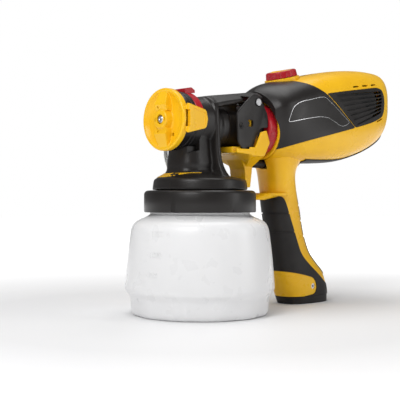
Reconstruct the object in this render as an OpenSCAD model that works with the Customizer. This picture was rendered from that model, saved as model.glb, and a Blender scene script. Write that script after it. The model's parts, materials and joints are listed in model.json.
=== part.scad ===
// Hand-held turbine paint sprayer: motor handle, detachable spray head and paint container.
// Frame: millimetres, +Z up, origin at the centre of the container's foot, nozzle towards -X.

/* [Container] */
// Widest radius of the paint container
container_r = 70.5; // [66:0.5:71]
// Height of the widest edge above the floor
container_belt_z = 25; // [22:1:28]
// Height of the container's shoulder
container_shoulder_z = 83; // [80:1:84]
// Radius of the container's threaded neck
container_neck_r = 47; // [45:0.5:47]
// Wall of the container
container_wall = 1.8; // [1.5:0.1:2.5]

/* [Spray head] */
// Radius of the lid's collar
collar_r = 53; // [52:0.5:54]
// Bottom of the lid's collar
collar_z = 96; // [95:0.5:97]
// Height of the lid's collar
collar_h = 20; // [20:0.5:21]
// Height of the nozzle's axis
spray_z = 181; // [181:0.5:181.5]
// Height of the axis of the air tube and its coupling
duct_z = 177.5; // [177:0.5:177.5]
// Outer radius of the air tube
duct_r = 19; // [19:0.1:19.1]
// Radius of the air cap
cap_r = 28.7; // [28:0.1:29]
// Foremost point of the air cap
cap_x = -49; // [-50:1:-49]

/* [Trigger] */
// Position of the trigger's pivot along the gun
pivot_x = 52; // [51.5:0.5:52]
// Height of the trigger's pivot
pivot_z = 201.7; // [201.5:0.1:202]
// Radius of the trigger's pin
pin_r = 2; // [1.8:0.1:2]

/* [Gun] */
// Wall of the gun's shells
wall = 2.4; // [2:0.2:2.6]
// Gap at the joints between the shells
seam = 0.15; // [0.1:0.05:0.2]
// Height of the motor's axis
motor_z = 199; // [198:0.5:200]
// Tilt of the power knob and the deck below it
knob_tilt = 14; // [12:1:15]
// Radius of the power knob
knob_r = 16.4; // [15:0.2:17]
// Position of the power knob along the gun
knob_x = 116; // [115:1:117]
// Height of the deck below the power knob
knob_z = 232; // [231.5:0.5:232.5]

/* [Hidden] */
$fn = 64;
fine_gap = 0.05;        // radial running clearance of a shaft in its hole
moulded_fn = 32;        // steps round the lofted shells
mid_x = 400;            // longer than the whole object, for cutting blocks
motor_r = 27;
shaft_r = 3;
turbine_r = 34;
needle_r = 1.5;
crosshead_x = 41;       // where the trigger's arms meet the needle
plunger_z = 143.6;
cord_z = 13;             // height of the mains entry
screw_r = 2.9;
container_flats = [-53, 47, 147];   // directions of the container's grip flats, in degrees

// ---------- shared shapes ----------

// A Catmull-Rom value between rows b and c of a table, with neighbours a and d.
function between(a, b, c, d, t) =
    0.5 * (2 * b + t * (c - a) + t * t * (2 * a - 5 * b + 4 * c - d) + t * t * t * (3 * b - 3 * c + d - a));

// The table's rows with (steps - 1) smooth rows put between each pair.
function smooth_rows(rows, steps) = [
    for (i = [0 : len(rows) - 2], k = [0 : steps - 1])
        between(rows[max(i - 1, 0)], rows[i], rows[i + 1], rows[min(i + 2, len(rows) - 1)], k / steps),
    rows[len(rows) - 1]];

function signed_pow(v, p) = sign(v) * pow(abs(v), p);

// A rounded-square outline with half sizes a and b, and squareness p: 2 is an ellipse.
function super_ring(a, b, p) = egg_ring(a, b, b, p, p);

// The same with its own depth and squareness below and above its widest point.
function egg_ring(a, below, above, p_below, p_above) = [for (i = [0 : moulded_fn - 1])
    let (t = 360 * (i + 0.5) / moulded_fn, p = sin(t) < 0 ? p_below : p_above, b = sin(t) < 0 ? below : above)
        [a * signed_pow(cos(t), 2 / p), b * signed_pow(sin(t), 2 / p)]];

// A closed skin over rings of 3D points that all hold the same number of points.
module loft(rings) {
    n = len(rings[0]);
    last = len(rings) - 1;
    polyhedron(
        points = [for (r = rings, p = r) p],
        faces = concat(
            [[for (i = [0 : n - 1]) i]],
            [for (r = [0 : last - 1], i = [0 : n - 1])
                [r * n + i, (r + 1) * n + i, (r + 1) * n + (i + 1) % n, r * n + (i + 1) % n]],
            [[for (i = [n - 1 : -1 : 0]) last * n + i]]),
        convexity = 6);
}

// One moulding: everything in it is joined as a single mesh.
module moulded() {
    resize([0, 0, 0]) children();
}

// A ring or rod along +X from x0 to x1.
module rod_x(x0, x1, r, z, y = 0) {
    translate([x0, y, z]) rotate([0, 90, 0]) cylinder(r = r, h = x1 - x0);
}

module ring_x(x0, x1, r_out, r_in, z, y = 0) {
    difference() {
        rod_x(x0, x1, r_out, z, y);
        rod_x(x0 - 1, x1 + 1, r_in, z, y);
    }
}

// A solid turned about the X axis at height z, from points [x, radius].
module turned_x(z, points) {
    translate([0, 0, z]) rotate([0, 90, 0]) rotate_extrude()
        polygon([for (p = points) [p[1], p[0]]]);
}

// An outline in X and Z made solid between y0 and y1.
module slab_y(y0, y1, points) {
    translate([0, y1, 0]) rotate([90, 0, 0]) linear_extrude(y1 - y0) polygon(points);
}

// Both sides: children as drawn, and their mirror image in Y.
module both_sides() {
    children();
    mirror([0, 1, 0]) children();
}

// ---------- gun shells ----------

// Stations of the motor body: x, bottom, top, half width, squareness below and above,
// height of the widest point, and how far the bottom leans back.
body_rows = [
    [73, 151, 216, 28, 2.2, 1.5, 196, 6], [79, 148.5, 221, 34, 2.4, 1.6, 199, 5],
    [90, 146.5, 225.5, 37.5, 2.7, 1.8, 201, 3], [112, 146, 230.5, 40.5, 3, 2.3, 200, 1],
    [145, 147, 238.5, 42, 3.3, 3, 198, 0], [180, 149, 245.5, 42, 3.3, 3.3, 199, 0],
    [215, 157, 249.5, 40.5, 3.2, 3.2, 204, 0], [245, 168, 250.5, 35.5, 3, 3, 210, 0],
    [262, 179, 249.5, 28, 2.8, 2.8, 214, 0], [274, 192, 244.5, 18, 2.5, 2.5, 218, 0],
    [280, 206, 236, 9, 2.2, 2.2, 221, 0]];

// Stations of the handle: z, front, back, half width, squareness.
handle_rows = [
    [0, 118, 178, 17.5, 2.8], [14, 112, 177, 18.5, 2.8], [30, 107, 171, 18.5, 2.7], [42, 104.5, 158.5, 17.8, 2.6],
    [54, 102, 147.5, 17.2, 2.5], [74, 98.5, 138.5, 17, 2.4], [96, 94.5, 133, 17.2, 2.4],
    [118, 91.5, 127, 18, 2.4], [136, 89, 125, 19.5, 2.4], [150, 84, 134, 23, 2.5], [166, 82, 153, 28, 2.6]];

// The motor body, pulled in by inset.
module body_form(inset) {
    loft([for (s = smooth_rows(body_rows, 2))
        let (mid = s[6], shift = max(-1, min(1, (177 - s[0]) / 107)))
            [for (p = egg_ring(s[3] - inset, mid - s[1] - inset, s[2] - mid - inset, s[4], s[5]))
                [s[0] + inset * shift + s[7] * (s[2] - mid - p[1]) / (s[2] - s[1]), p[0], mid + p[1]]]]);
}

// The handle, pulled in by inset.
module handle_form(inset, bottom = 0) {
    loft([for (s = smooth_rows(handle_rows, 2))
        let (half = (s[2] - s[1]) / 2 - inset, mid = (s[1] + s[2]) / 2)
            [for (p = super_ring(half, s[3] - inset, s[4])) [mid + p[0], p[1], max(s[0], bottom)]]]);
}

module gun_form(inset = 0) {
    body_form(inset);
    handle_form(inset);
}

// The shell between two depths below the gun's surface.
module gun_shell(depth = wall, proud = 0) {
    difference() {
        gun_form(-proud);
        gun_form(depth);
    }
}

// Outlines of the fitted panels, seen from the side, in X and Z.
cover_outline = [[50, 130], [50, 240], [86, 240], [98, 232], [108, 229.6], [120, 226], [131, 221], [139, 215.5],
    [184, 184], [146, 174.6], [113, 167], [84.5, 158.7], [74, 153], [62, 145]];
grille_outline = [[139.6, 216], [165, 220.5], [196, 225.5], [226, 230], [238, 229], [243, 215], [238, 200],
    [212, 190], [184.6, 184.4]];
sleeve_outline = [[60, 111.5], [98, 111.5], [102, 108], [121, 64], [127, 51], [138, 41], [152.5, 30], [165, 21],
    [200, 14], [200, 8], [131, 8], [147.5, 11], [149, 17.5], [143.5, 26], [128, 30.5], [106, 34.5], [60, 37.5]];

module region(points, gap = 0) {
    translate([0, 100, 0]) rotate([90, 0, 0]) linear_extrude(200) offset(delta = -gap) polygon(points);
}

// The half space on one side of the gun: side is -1 for left and 1 for right.
module half_space(side, gap = 0) {
    translate([-mid_x / 2, side < 0 ? -mid_x : gap, -mid_x / 2]) cube([2 * mid_x, mid_x - gap, 2 * mid_x]);
}

module spine_region(gap = 0) {
    // the back of the handle and the underside of the body
    width = 11 - gap;
    translate([0, -width, 0]) slab_y(0, 2 * width, [[141, 29 + gap], [196, 29 + gap], [196, 160], [118, 160],
        [118, 118], [122, 90], [125.5, 64], [135, 44]]);
    slab_y(-24 + gap, 24 - gap, [[126, 130], [262, 130], [276, 190], [262, 182], [245, 170.6], [215, 159],
        [180, 151.4], [150, 149.6], [126, 150.5]]);
}

// The screws that hold the two halves together: x, z, and the side that their heads are on.
shell_screws = [[144, 18, -1], [140, 18, 1], [110, 124, 1], [236, 178, 1], [176, 240, 1]];

// One column of a table of stations, read at a position.
function station(rows, at, column) = lookup(at, [for (s = rows) [s[0], s[column]]]);

// The half width of a rounded-square section at a distance off its middle, as a share of its half size.
function superellipse(half, share, p) = half * pow(1 - pow(min(abs(share), 0.98), p), 1 / p);

function handle_half_width(x, z) =
    let (front = station(handle_rows, z, 1), back = station(handle_rows, z, 2))
        superellipse(station(handle_rows, z, 3), (2 * x - front - back) / (back - front), station(handle_rows, z, 4));

function body_half_width(x, z) =
    let (mid = station(body_rows, x, 6), above = z > mid,
        half_height = above ? station(body_rows, x, 2) - mid : mid - station(body_rows, x, 1))
        superellipse(station(body_rows, x, 3), (z - mid) / half_height, station(body_rows, x, above ? 5 : 4));

// Where a screw goes: at the surface of the shell, pointing inwards.
module screw_place(s) {
    half_width = s[1] < 140 ? handle_half_width(s[0], s[1]) : body_half_width(s[0], s[1]);
    translate([s[0], s[2] * half_width, s[1]]) rotate([s[2] * 90, 0, 0]) children();
}

module screw_hole() {
    translate([0, 0, -4]) cylinder(r = screw_r + 0.2, h = 16, $fn = 24);
}

// The hole for the mains entry in the back of the handle.
module cord_hole() {
    rod_x(160, 200, 5.2, cord_z);
}

module housing_half(side) {
    color("gold") moulded() difference() {
        intersection() {
            gun_shell();
            half_space(side, 0.05);
        }
        intersection() {
            union() {
                region(cover_outline);
                region(grille_outline);
            }
            translate([40, -60, 140]) cube([240, 120, 120]);
        }
        region(sleeve_outline);
        spine_region();
        translate([100, -30, -1]) cube([100, 60, 9]);
        front_openings();
        cord_hole();
        for (s = shell_screws)
            screw_place(s) screw_hole();
        for (x = [184, 200, 216])
            translate([x, side * 30 - 12, 226 + (x - 184) * 0.15]) cube([10.4, 24, 1.8]);
    }
}
module housing_left() { housing_half(-1); }
module housing_right() { housing_half(1); }

// The holes in the shells for the coupling, the knob and the switch's plunger.
module front_openings() {
    translate([60, 0, duct_z]) rotate([0, 90, 0]) cylinder(r = 29.8, h = 36, $fn = 48);
    knob_place() translate([0, 0, -9]) cylinder(r = knob_r + 1.8, h = 20, $fn = 48);
    translate([76, -4.6, plunger_z - 4.6]) cube([20, 9.2, 9.2]);
}

module side_cover(side) {
    color("dimgray") moulded() difference() {
        intersection() {
            gun_shell(wall, 0.3);
            half_space(side, 0.05);
            region(cover_outline, seam);
            translate([40, -60, 140]) cube([240, 120, 120]);
        }
        front_openings();
        for (s = shell_screws)
            screw_place(s) screw_hole();
    }
}
module side_cover_left() { side_cover(-1); }
module side_cover_right() { side_cover(1); }

// Slits between the blades of an air grille.
module grille_slits(side) {
    for (i = [0 : 4])
        translate([0, side * 30 - 15, 0]) rotate([90, 0, 0]) translate([0, 0, -30]) linear_extrude(30)
            polygon([[183 + 10 * i, 219.6 - 6.6 * i], [234, 224.6 - 6.2 * i],
                [234, 221.6 - 6.2 * i], [183 + 10 * i, 216.6 - 6.6 * i]]);
}

module filter_grille(side) {
    color("black") moulded() difference() {
        intersection() {
            gun_shell(wall, 0.2);
            half_space(side, 0.05);
            region(grille_outline, seam);
        }
        grille_slits(side);
    }
}
module filter_grille_left() { filter_grille(-1); }
module filter_grille_right() { filter_grille(1); }

// Foam pad behind a grille, with its own curve.
module air_filter(side) {
    color("gray") moulded() intersection() {
        difference() {
            body_form(wall + 0.6);
            body_form(wall + 5.6);
        }
        half_space(side, 20);
        translate([0, 100, 0]) rotate([90, 0, 0]) linear_extrude(200)
            polygon([[158, 214], [168, 217.5], [226, 225], [232, 214], [227, 203], [188, 191]]);
    }
}
module air_filter_left() { air_filter(-1); }
module air_filter_right() { air_filter(1); }

module grip_sleeve() {
    color("black") moulded() difference() {
        intersection() {
            difference() {
                handle_form(-0.6);
                handle_form(wall);
            }
            region(sleeve_outline, seam);
        }
        for (z = [94, 75])
            difference() {
                translate([60, -40, z]) cube([120, 80, 1.6]);
                handle_form(0.5);
            }
        cord_hole();
        for (s = shell_screws)
            screw_place(s) screw_hole();
    }
}

module back_spine() {
    color("black") moulded() difference() {
        intersection() {
            gun_shell(wall, 1);
            spine_region(seam);
        }
        for (z = [117, 101, 85, 69])
            difference() {
                translate([100, -20, z]) cube([60, 40, 2]);
                handle_form(0.5);
            }
    }
}

module foot_cap() {
    color("black") moulded() difference() {
        intersection() {
            handle_form(0);
            translate([100, -30, 0]) cube([100, 60, 8 - seam]);
        }
        intersection() {
            handle_form(wall);
            translate([100, -30, 3]) cube([100, 60, 8]);
        }
    }
}

// The ledge on top of the grip that the middle finger bears against.
module finger_rest() {
    color("gold") moulded() difference() {
        union() {
            intersection() {
                translate([-8, 0, 0]) handle_form(-3);
                translate([60, -30, 111.5 + seam]) cube([42, 60, 3]);
            }
            hull() {
                translate([92, 0, 111.7]) cylinder(r = 15, h = 2.6, $fn = 32);
                translate([76, 0, 107.5]) cylinder(r = 9, h = 2.4, $fn = 32);
            }
        }
        handle_form(-0.05);
        intersection() {
            handle_form(-0.8);
            translate([60, -40, 100]) cube([60, 80, 11.5 + seam]);
        }
    }
}

// ---------- controls ----------

module knob_place() {
    translate([knob_x, 0, knob_z]) rotate([0, -knob_tilt, 0]) children();
}

module knob_bezel() {
    color("gold") knob_place() difference() {
        translate([0, 0, -2.6]) cylinder(r = knob_r + 1.6, h = 4.2);
        translate([0, 0, -7]) cylinder(r = 3.4, h = 12);
        translate([0, 0, -7]) cylinder(r = knob_r - 3, h = 6);
    }
}

module power_knob() {
    grips = 14;
    color("firebrick") knob_place() difference() {
        translate([0, 0, 2]) rotate_extrude()
            polygon([[0, 0], [knob_r, 0], [knob_r - 0.8, 6], [knob_r - 2, 7], [0, 7]]);
        for (i = [0 : grips - 1])
            rotate([0, 0, 360 * (i + 0.5) / grips]) translate([knob_r + 1.2, 0, 1])
                cylinder(r = 2.2, h = 12, $fn = 24);
        translate([0, 0, 7.6]) cylinder(r = knob_r - 4, h = 3);
        translate([0, 0, 1]) cylinder(r = 3, h = 4.6);
    }
}

// The power knob's top insert, with its pointer ridge.
module knob_cap() {
    color("gold") knob_place() union() {
        translate([0, 0, 7.6]) cylinder(r = knob_r - 4.1, h = 1.2);
        translate([-1.2, 1, 8.6]) cube([2.4, knob_r - 6, 1]);
    }
}

module knob_shaft() {
    color("silver") knob_place() translate([0, 0, -15]) cylinder(r = 3, h = 20.6);
}

module potentiometer() {
    color("silver") knob_place() difference() {
        union() {
            translate([0, 0, -16]) cylinder(r = 8, h = 6);
            translate([0, 0, -10]) cylinder(r = 4.4, h = 3.6);
        }
        translate([0, 0, -15.5]) cylinder(r = 3 + fine_gap, h = 12);
    }
}

module speed_board() {
    color("darkgreen") knob_place() union() {
        translate([-16, -16, -17.8]) cube([24, 32, 1.6]);
        translate([-8, -9, -23]) cylinder(r = 5, h = 5.4);
        translate([-10, 8, -20]) cube([10, 4, 2.4]);
    }
}

module micro_switch() {
    color("dimgray") translate([101.5, -5, plunger_z - 11]) cube([17, 10, 15]);
}

module switch_plunger() {
    color("black") union() {
        rod_x(84, 97, 2.4, plunger_z);
        turned_x(plunger_z, [[70.4, 0], [70.4, 2.8], [71.6, 3.8], [86, 4], [86, 0]]);
    }
}

module coupling_collar() {
    color("gold") turned_x(duct_z, [[80.6, 24], [80.6, 28.4], [81.4, 29.2], [96, 29.4], [96, 24]]);
}

// The ring that locks the spray head in its socket.
module lock_ring() {
    color("firebrick") difference() {
        turned_x(duct_z, [[67.6, duct_r + 0.5], [67.6, 26], [68.4, 26.9], [79.2, 27.2], [80, 26.6],
            [80, duct_r + 0.5]]);
        for (i = [0 : 5])
            translate([0, 0, duct_z]) rotate([60 * i + 30, 0, 0]) translate([77.6, 0, 27.8])
                cube([3, 3, 2.4], center = true);
    }
}

// ---------- air path and motor ----------

module air_duct() {
    color("dimgray") union() {
        ring_x(84.2, 108, 23.5, duct_r + 0.1, duct_z);
        moulded() difference() {
            hull() {
                translate([107, 0, duct_z]) rotate([0, 90, 0]) cylinder(r = 23.5, h = 1, $fn = 32);
                translate([129, 0, motor_z]) rotate([0, 90, 0]) cylinder(r = 18, h = 1, $fn = 32);
            }
            hull() {
                translate([105.5, 0, duct_z]) rotate([0, 90, 0]) cylinder(r = 20.5, h = 1.5, $fn = 32);
                translate([129, 0, motor_z]) rotate([0, 90, 0]) cylinder(r = 15.5, h = 2, $fn = 32);
            }
        }
    }
}

module duct_seal() {
    color("black") translate([93, 0, duct_z]) rotate([0, 90, 0]) rotate_extrude() translate([duct_r - 0.77, 0])
        circle(r = 0.81, $fn = 24);
}

module turbine_housing() {
    color("gainsboro") turned_x(motor_z, [
        [130.2, 15.5], [130.2, 22], [133, turbine_r], [160, turbine_r], [160, 9], [158, 9], [158, turbine_r - 2],
        [134.5, turbine_r - 2], [132.2, 20.5], [132.2, 15.5]]);
}

// One turbine wheel: a disc with backward-curved blades and a bore for the shaft.
module impeller(x0) {
    blades = 10;
    wheel_r = turbine_r - 4;
    color("silver") translate([x0, 0, motor_z]) rotate([0, 90, 0]) difference() {
        union() {
            cylinder(r = wheel_r, h = 1.2);
            cylinder(r = 6, h = 8);
            for (i = [0 : blades - 1])
                rotate([0, 0, 360 * i / blades]) translate([5, 0, 0]) rotate([0, 0, 18])
                    cube([wheel_r - 8, 1, 7]);
        }
        translate([0, 0, -1]) cylinder(r = shaft_r, h = 10);
    }
}
module impeller_front() { impeller(135.5); }
module impeller_rear() { impeller(146.5); }

module motor_shaft() {
    color("silver") rod_x(134, 238, shaft_r, motor_z);
}

module armature() {
    slots = 12;
    color("peru") translate([174, 0, motor_z]) rotate([0, 90, 0]) difference() {
        union() {
            cylinder(r = 17, h = 32);
            translate([0, 0, -3]) cylinder(r = 14, h = 38);
        }
        for (i = [0 : slots - 1])
            rotate([0, 0, 360 * i / slots]) translate([16, 0, -1]) cylinder(r = 1.2, h = 34, $fn = 16);
        translate([0, 0, -6]) cylinder(r = shaft_r, h = 50);
    }
}

module commutator() {
    bars = 12;
    color("peru") translate([214, 0, motor_z]) rotate([0, 90, 0]) difference() {
        cylinder(r = 9, h = 11);
        for (i = [0 : bars - 1])
            rotate([0, 0, 360 * (i + 0.5) / bars]) translate([8.5, -0.3, -1]) cube([2, 0.6, 13]);
        translate([0, 0, -1]) cylinder(r = shaft_r, h = 14);
    }
}

module stator() {
    color("slategray") difference() {
        intersection() {
            rod_x(175, 205, motor_r, motor_z);
            translate([170, -24, motor_z - 40]) cube([40, 48, 80]);
        }
        rod_x(170, 210, 17.8, motor_z);
    }
}

module motor_bearings() {
    color("silver") {
        ring_x(164, 169, 8, shaft_r + fine_gap, motor_z);
        ring_x(229, 234, 8, shaft_r + fine_gap, motor_z);
    }
}

// The cage that carries both bearings, the stator and the brushes.
module motor_frame() {
    color("darkslategray") difference() {
        union() {
            ring_x(161, 170, 12, 8, motor_z);
            ring_x(161, 164, 31, 11, motor_z);
            ring_x(228, 236, 12, 8, motor_z);
            both_sides() translate([161, 24.2, motor_z - 9]) cube([72, 4, 18]);
            difference() {
                translate([228, -28.2, motor_z - 9]) cube([5, 56.4, 18]);
                rod_x(227, 240, 11, motor_z);
            }
        }
        both_sides() translate([219.5, 18, motor_z]) rotate([-90, 0, 0]) translate([-3, -3, 0]) cube([6, 6, 14]);
    }
}

module carbon_brushes() {
    color("black") both_sides() translate([216.6, 9.4, motor_z - 2.9]) cube([5.8, 18, 5.8]);
}

// ---------- mains entry and fasteners ----------

module cord_bush() {
    color("black") turned_x(cord_z, [[156, 3.6], [156, 6.4], [159, 6.4], [159, 5], [178.4, 5], [178.4, 3.6]]);
}

module cord_clamp() {
    color("dimgray") translate([122, -9, cord_z + 1]) difference() {
        cube([12, 18, 5]);
        translate([-1, 9, -1.2]) rotate([0, 90, 0]) cylinder(r = 3.6, h = 14);
    }
}

module housing_screws() {
    color("silver") for (s = shell_screws)
        screw_place(s) difference() {
            union() {
                translate([0, 0, 0.6]) cylinder(r = screw_r, h = 2.2);
                translate([0, 0, 1]) cylinder(r = 1.4, h = 12);
            }
            translate([0, 0, 0]) cylinder(r = 1.5, h = 2, $fn = 6);
        }
}

// ---------- spray head ----------

// Stations of the neck: z, centre in X, half length, half width, squareness.
neck_rows = [
    [117, 0, 45, 45, 2], [124.5, 0, 44, 44, 2], [127, -1, 42, 42, 2], [133, -11, 23.5, 21.5, 2.6],
    [142, -11.5, 21, 20, 2.7], [153, -12, 19.5, 18.5, 2.7], [166, -13, 18.5, 18, 2.6], [182, -14, 17, 17.5, 2.3]];

// Half widths of the flange behind the neck: z, half width, rear face in X.
flange_rows = [
    [117, 44.5, 14], [121, 41, 13], [126, 36.5, 9], [134, 31.5, 5.5], [144, 28, 4], [158, 26, 3.5],
    [178, 25, 3.5], [192, 23.5, 3.5], [200, 19, 3.5], [205, 11, 3.5]];

module neck_form() {
    loft([for (s = smooth_rows(neck_rows, 2))
        [for (p = super_ring(s[2], s[3], s[4])) [s[1] + p[0], p[1], s[0]]]]);
}

module flange_form() {
    loft([for (s = smooth_rows(flange_rows, 2))
        let (mid = (s[2] - 3) / 2, half = (s[2] + 3) / 2)
            [for (p = super_ring(half, s[1], 6)) [mid + p[0], p[1], s[0]]]]);
}

// The thin canopy from the flange's top to the gun's nose.
module hood_form() {
    hull() {
        translate([0, -17, 201]) cube([3, 34, 4.6]);
        translate([60, -13, 210.4]) cube([8, 26, 3]);
    }
    hull() {
        translate([0, -22.5, 190]) cube([3, 45, 8]);
        translate([24, -19, 202]) cube([3, 38, 3]);
    }
}

// The rib that carries the canopy on the air tube.
module hood_rib() {
    slab_y(-2, 2, [[2, 190], [2, 203], [60, 211.6], [66, 211.6], [66, 207], [58, 196], [58, 190]]);
}

module spray_head() {
    color("dimgray") moulded() difference() {
        union() {
            neck_form();
            flange_form();
            difference() {
                hood_form();
                translate([3.6, 0, duct_z]) rotate([0, 90, 0]) cylinder(r = duct_r + 3.2, h = 70, $fn = 48);
                translate([40, -30, 190]) cube([24, 60, 16.5]);
            }
            hood_rib();
            translate([-28, 0, spray_z]) rotate([0, 90, 0]) cylinder(r1 = 21, r2 = 24.5, h = 30, $fn = 48);
            translate([0, 0, duct_z]) rotate([0, 90, 0]) cylinder(r = duct_r, h = 98, $fn = 48);
            translate([0, 0, 110]) cylinder(r = 17.6, h = 10, $fn = 48);
        }
        difference() {
            translate([4, 0, duct_z]) rotate([0, 90, 0]) cylinder(r = duct_r - 3, h = 100, $fn = 48);
            translate([67.2, -20, spray_z - 4]) cube([3, 40, 8]);
        }
        translate([pivot_x, -10, pivot_z]) rotate([-90, 0, 0]) cylinder(r = pin_r + fine_gap, h = 20, $fn = 32);
        translate([-14, 0, spray_z]) rotate([0, 90, 0]) cylinder(r = 5.6, h = 24, $fn = 32);
        translate([-36, 0, spray_z]) rotate([0, 90, 0]) cylinder(r = 8, h = 22, $fn = 32);
        ring_x(-36, -27.8, 15.6, 12.4, spray_z);
        ring_x(-44, -26.8, 27.4, 21.9, spray_z);
        ring_x(-27, -17.4, 27.4, 22.6, spray_z);
        intersection() {
            ring_x(-44, -17.4, 33.5, 27, spray_z);
            both_sides() translate([-50, 13, 140]) cube([40, 20, 80]);
        }
        translate([60, 0, spray_z]) rotate([0, 90, 0]) cylinder(r = 1.9, h = 16, $fn = 24);
        translate([-12, 0, 105]) cylinder(r = 3.1, h = spray_z - 105, $fn = 24);
        translate([-12, 0, 105]) cylinder(r = 4.8, h = 11, $fn = 32);
        translate([-12, 30, 124]) cylinder(r = 7.5, h = 20, $fn = 32);
        translate([93, 0, duct_z]) rotate([0, 90, 0]) rotate_extrude($fn = 48) translate([17.4, -0.9])
            square([3, 1.8]);
        translate([crosshead_x - 3, -30, spray_z - 3]) cube([11, 60, 6]);
    }
}

function arc(r, from, to, steps) = [for (i = [0 : steps])
    let (a = from + (to - from) * i / steps) [r * cos(a), r * sin(a)]];

// The crescent round the front of the neck's foot, as a block.
module lid_plate_region() {
    translate([0, 0, 118]) linear_extrude(24) difference() {
        polygon(concat([[0, 0]], arc(40.5, 133, 227, 20)));
        translate([-11, 0]) polygon(super_ring(24.6, 22.6, 2.6));
    }
}

module lid_plate() {
    color("gold") moulded() difference() {
        intersection() {
            lid_plate_region();
            translate([0, 0, 0.8]) neck_form();
        }
        translate([0, 0, 0.02]) neck_form();
    }
}

module lid_collar() {
    color("dimgray") rotate_extrude() polygon([
        [container_neck_r + 1.6, collar_z], [collar_r - 0.6, collar_z], [collar_r, collar_z + 0.8],
        [collar_r, collar_z + collar_h - 2.4], [collar_r - 2.2, collar_z + collar_h], [45.6, collar_z + collar_h + 0.6],
        [18, collar_z + collar_h + 0.6], [18, collar_z + collar_h - 2], [container_neck_r + 1.6, collar_z + collar_h - 2]]);
}

// Outline of the plate over the trigger's arm, in X and Z.
plate_outline = [[25, 162], [23.5, 190], [31, 197], [45, 209.2], [55, 208.6], [60.5, 200], [66.5, 190],
    [66.5, 178], [56, 177], [50, 168], [45, 157], [40, 154.5], [32, 154.5]];
// Where the plate's posts stand, in X and Z.
plate_posts = [[29, 178]];

module head_cover(side) {
    color("dimgray") difference() {
        union() {
            translate([0, side > 0 ? 0 : -50.2, 0]) slab_y(23.8, 26.4, plate_outline);
            for (p = plate_posts)
                translate([p[0], side * 24.6, p[1]]) rotate([side * 90, 0, 0]) cylinder(r = 2.2, h = 12);
        }
        translate([pivot_x, -40, pivot_z]) rotate([-90, 0, 0]) cylinder(r = pin_r, h = 80);
        for (p = plate_posts)
            translate([p[0], side * 25, p[1]]) rotate([-side * 90, 0, 0]) cylinder(r = 2.5, h = 3);
        translate([crosshead_x - 2.6, -40, spray_z - 3]) cube([8.6, 80, 6]);
        translate([0, 0, duct_z]) rotate([0, 90, 0]) cylinder(r = duct_r, h = 100);
    }
}
module head_cover_left() { head_cover(-1); }
module head_cover_right() { head_cover(1); }

module head_screws() {
    color("silver") for (p = plate_posts, side = [-1, 1])
        translate([p[0], side * 25, p[1]]) rotate([-side * 90, 0, 0]) difference() {
            cylinder(r = 2.4, h = 1.3);
            translate([0, 0, 0.6]) cylinder(r = 1.2, h = 1.6, $fn = 6);
        }
}

// ---------- trigger and needle ----------

arm_outline = [[47, 206], [57, 206], [58.5, 200], [57, 188], [55, 170], [54, 152], [26, 152], [34, 160],
    [35, 170], [34, 186], [40, 194], [45, 202]];
cheek_outline = [[40, 149.5], [49, 164], [53.5, 173], [61, 174.8], [65.5, 163], [60, 153], [56, 149.5]];
blade_outline = [[20, 158], [20, 152], [36, 151], [45, 147], [50, 138], [51.5, 121.5], [53, 119.8], [58, 119.8],
    [60, 133], [61.2, 142], [59.6, 149.5], [58, 158]];
// How the saddle narrows from the cheeks to the blade, in Y and Z.
saddle_outline = [[-29.8, 158], [-29.8, 151], [-20, 146], [-10.5, 140], [10.5, 140], [20, 146], [29.8, 151],
    [29.8, 158]];

module trigger() {
    color("gold") difference() {
        union() {
            slab_y(-10.5, 10.5, blade_outline);
            both_sides() slab_y(20.2, 23.2, arm_outline);
            both_sides() slab_y(27.6, 29.8, cheek_outline);
            intersection() {
                translate([20, 0, 0]) rotate([90, 0, 90]) linear_extrude(46) polygon(saddle_outline);
                slab_y(-30, 30, [[20, 158], [20, 152], [36, 151], [45, 147], [52, 140], [60.9, 140], [61, 145],
                    [59.6, 149.5], [57, 158]]);
            }
        }
        rod_x(10, 50, duct_r + 0.8, duct_z);
        rod_x(49, 80, duct_r + 3, duct_z);
        both_sides() translate([10, 27, 156]) cube([28, 10, 4]);
        translate([pivot_x, -40, pivot_z]) rotate([-90, 0, 0]) cylinder(r = pin_r + fine_gap, h = 80);
        translate([crosshead_x - 2.4, -40, spray_z - 3.4]) cube([5.4, 80, 8.4]);
        both_sides() translate([10, 23.2, 153]) cube([60, 4.4, 60]);
    }
}

module trigger_pin() {
    color("silver") union() {
        translate([pivot_x, -26.4, pivot_z]) rotate([-90, 0, 0]) cylinder(r = pin_r, h = 54);
        both_sides() translate([pivot_x, 26.4, pivot_z]) rotate([-90, 0, 0]) cylinder(r = 3.4, h = 1.2);
    }
}

// The fluid needle with the crosshead that the trigger's arms draw back.
module needle() {
    color("silver") union() {
        rod_x(-43, 65, needle_r, spray_z);
        turned_x(spray_z, [[-46.9, 0], [-46.9, 0.4], [-44.4, 0.88], [-43.6, 0.9], [-43, needle_r], [-42.9, 0]]);
        translate([crosshead_x, -26, spray_z]) rotate([-90, 0, 0]) cylinder(r = 2, h = 52);
        rod_x(crosshead_x - 3, crosshead_x + 4, 4, spray_z);
    }
}

// Points of a coil spring's wire, swept as a closed tube.
module coil_x(x0, length, radius, wire, turns, z) {
    steps = 12;
    sides = 6;
    count = turns * steps;
    loft([for (i = [0 : count]) let (a = 360 * i / steps)
        [for (k = [0 : sides - 1]) let (b = 360 * k / sides, r = radius + wire * cos(b))
            [x0 + length * i / count + wire * sin(b), r * cos(a), z + r * sin(a)]]]);
}

module needle_spring() {
    color("silver") coil_x(crosshead_x + 4.9, 20.4, 3.1, 0.45, 8, spray_z);
}

module needle_packing() {
    color("white") ring_x(-11, -4, 5.5, needle_r + fine_gap, spray_z);
}

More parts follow.
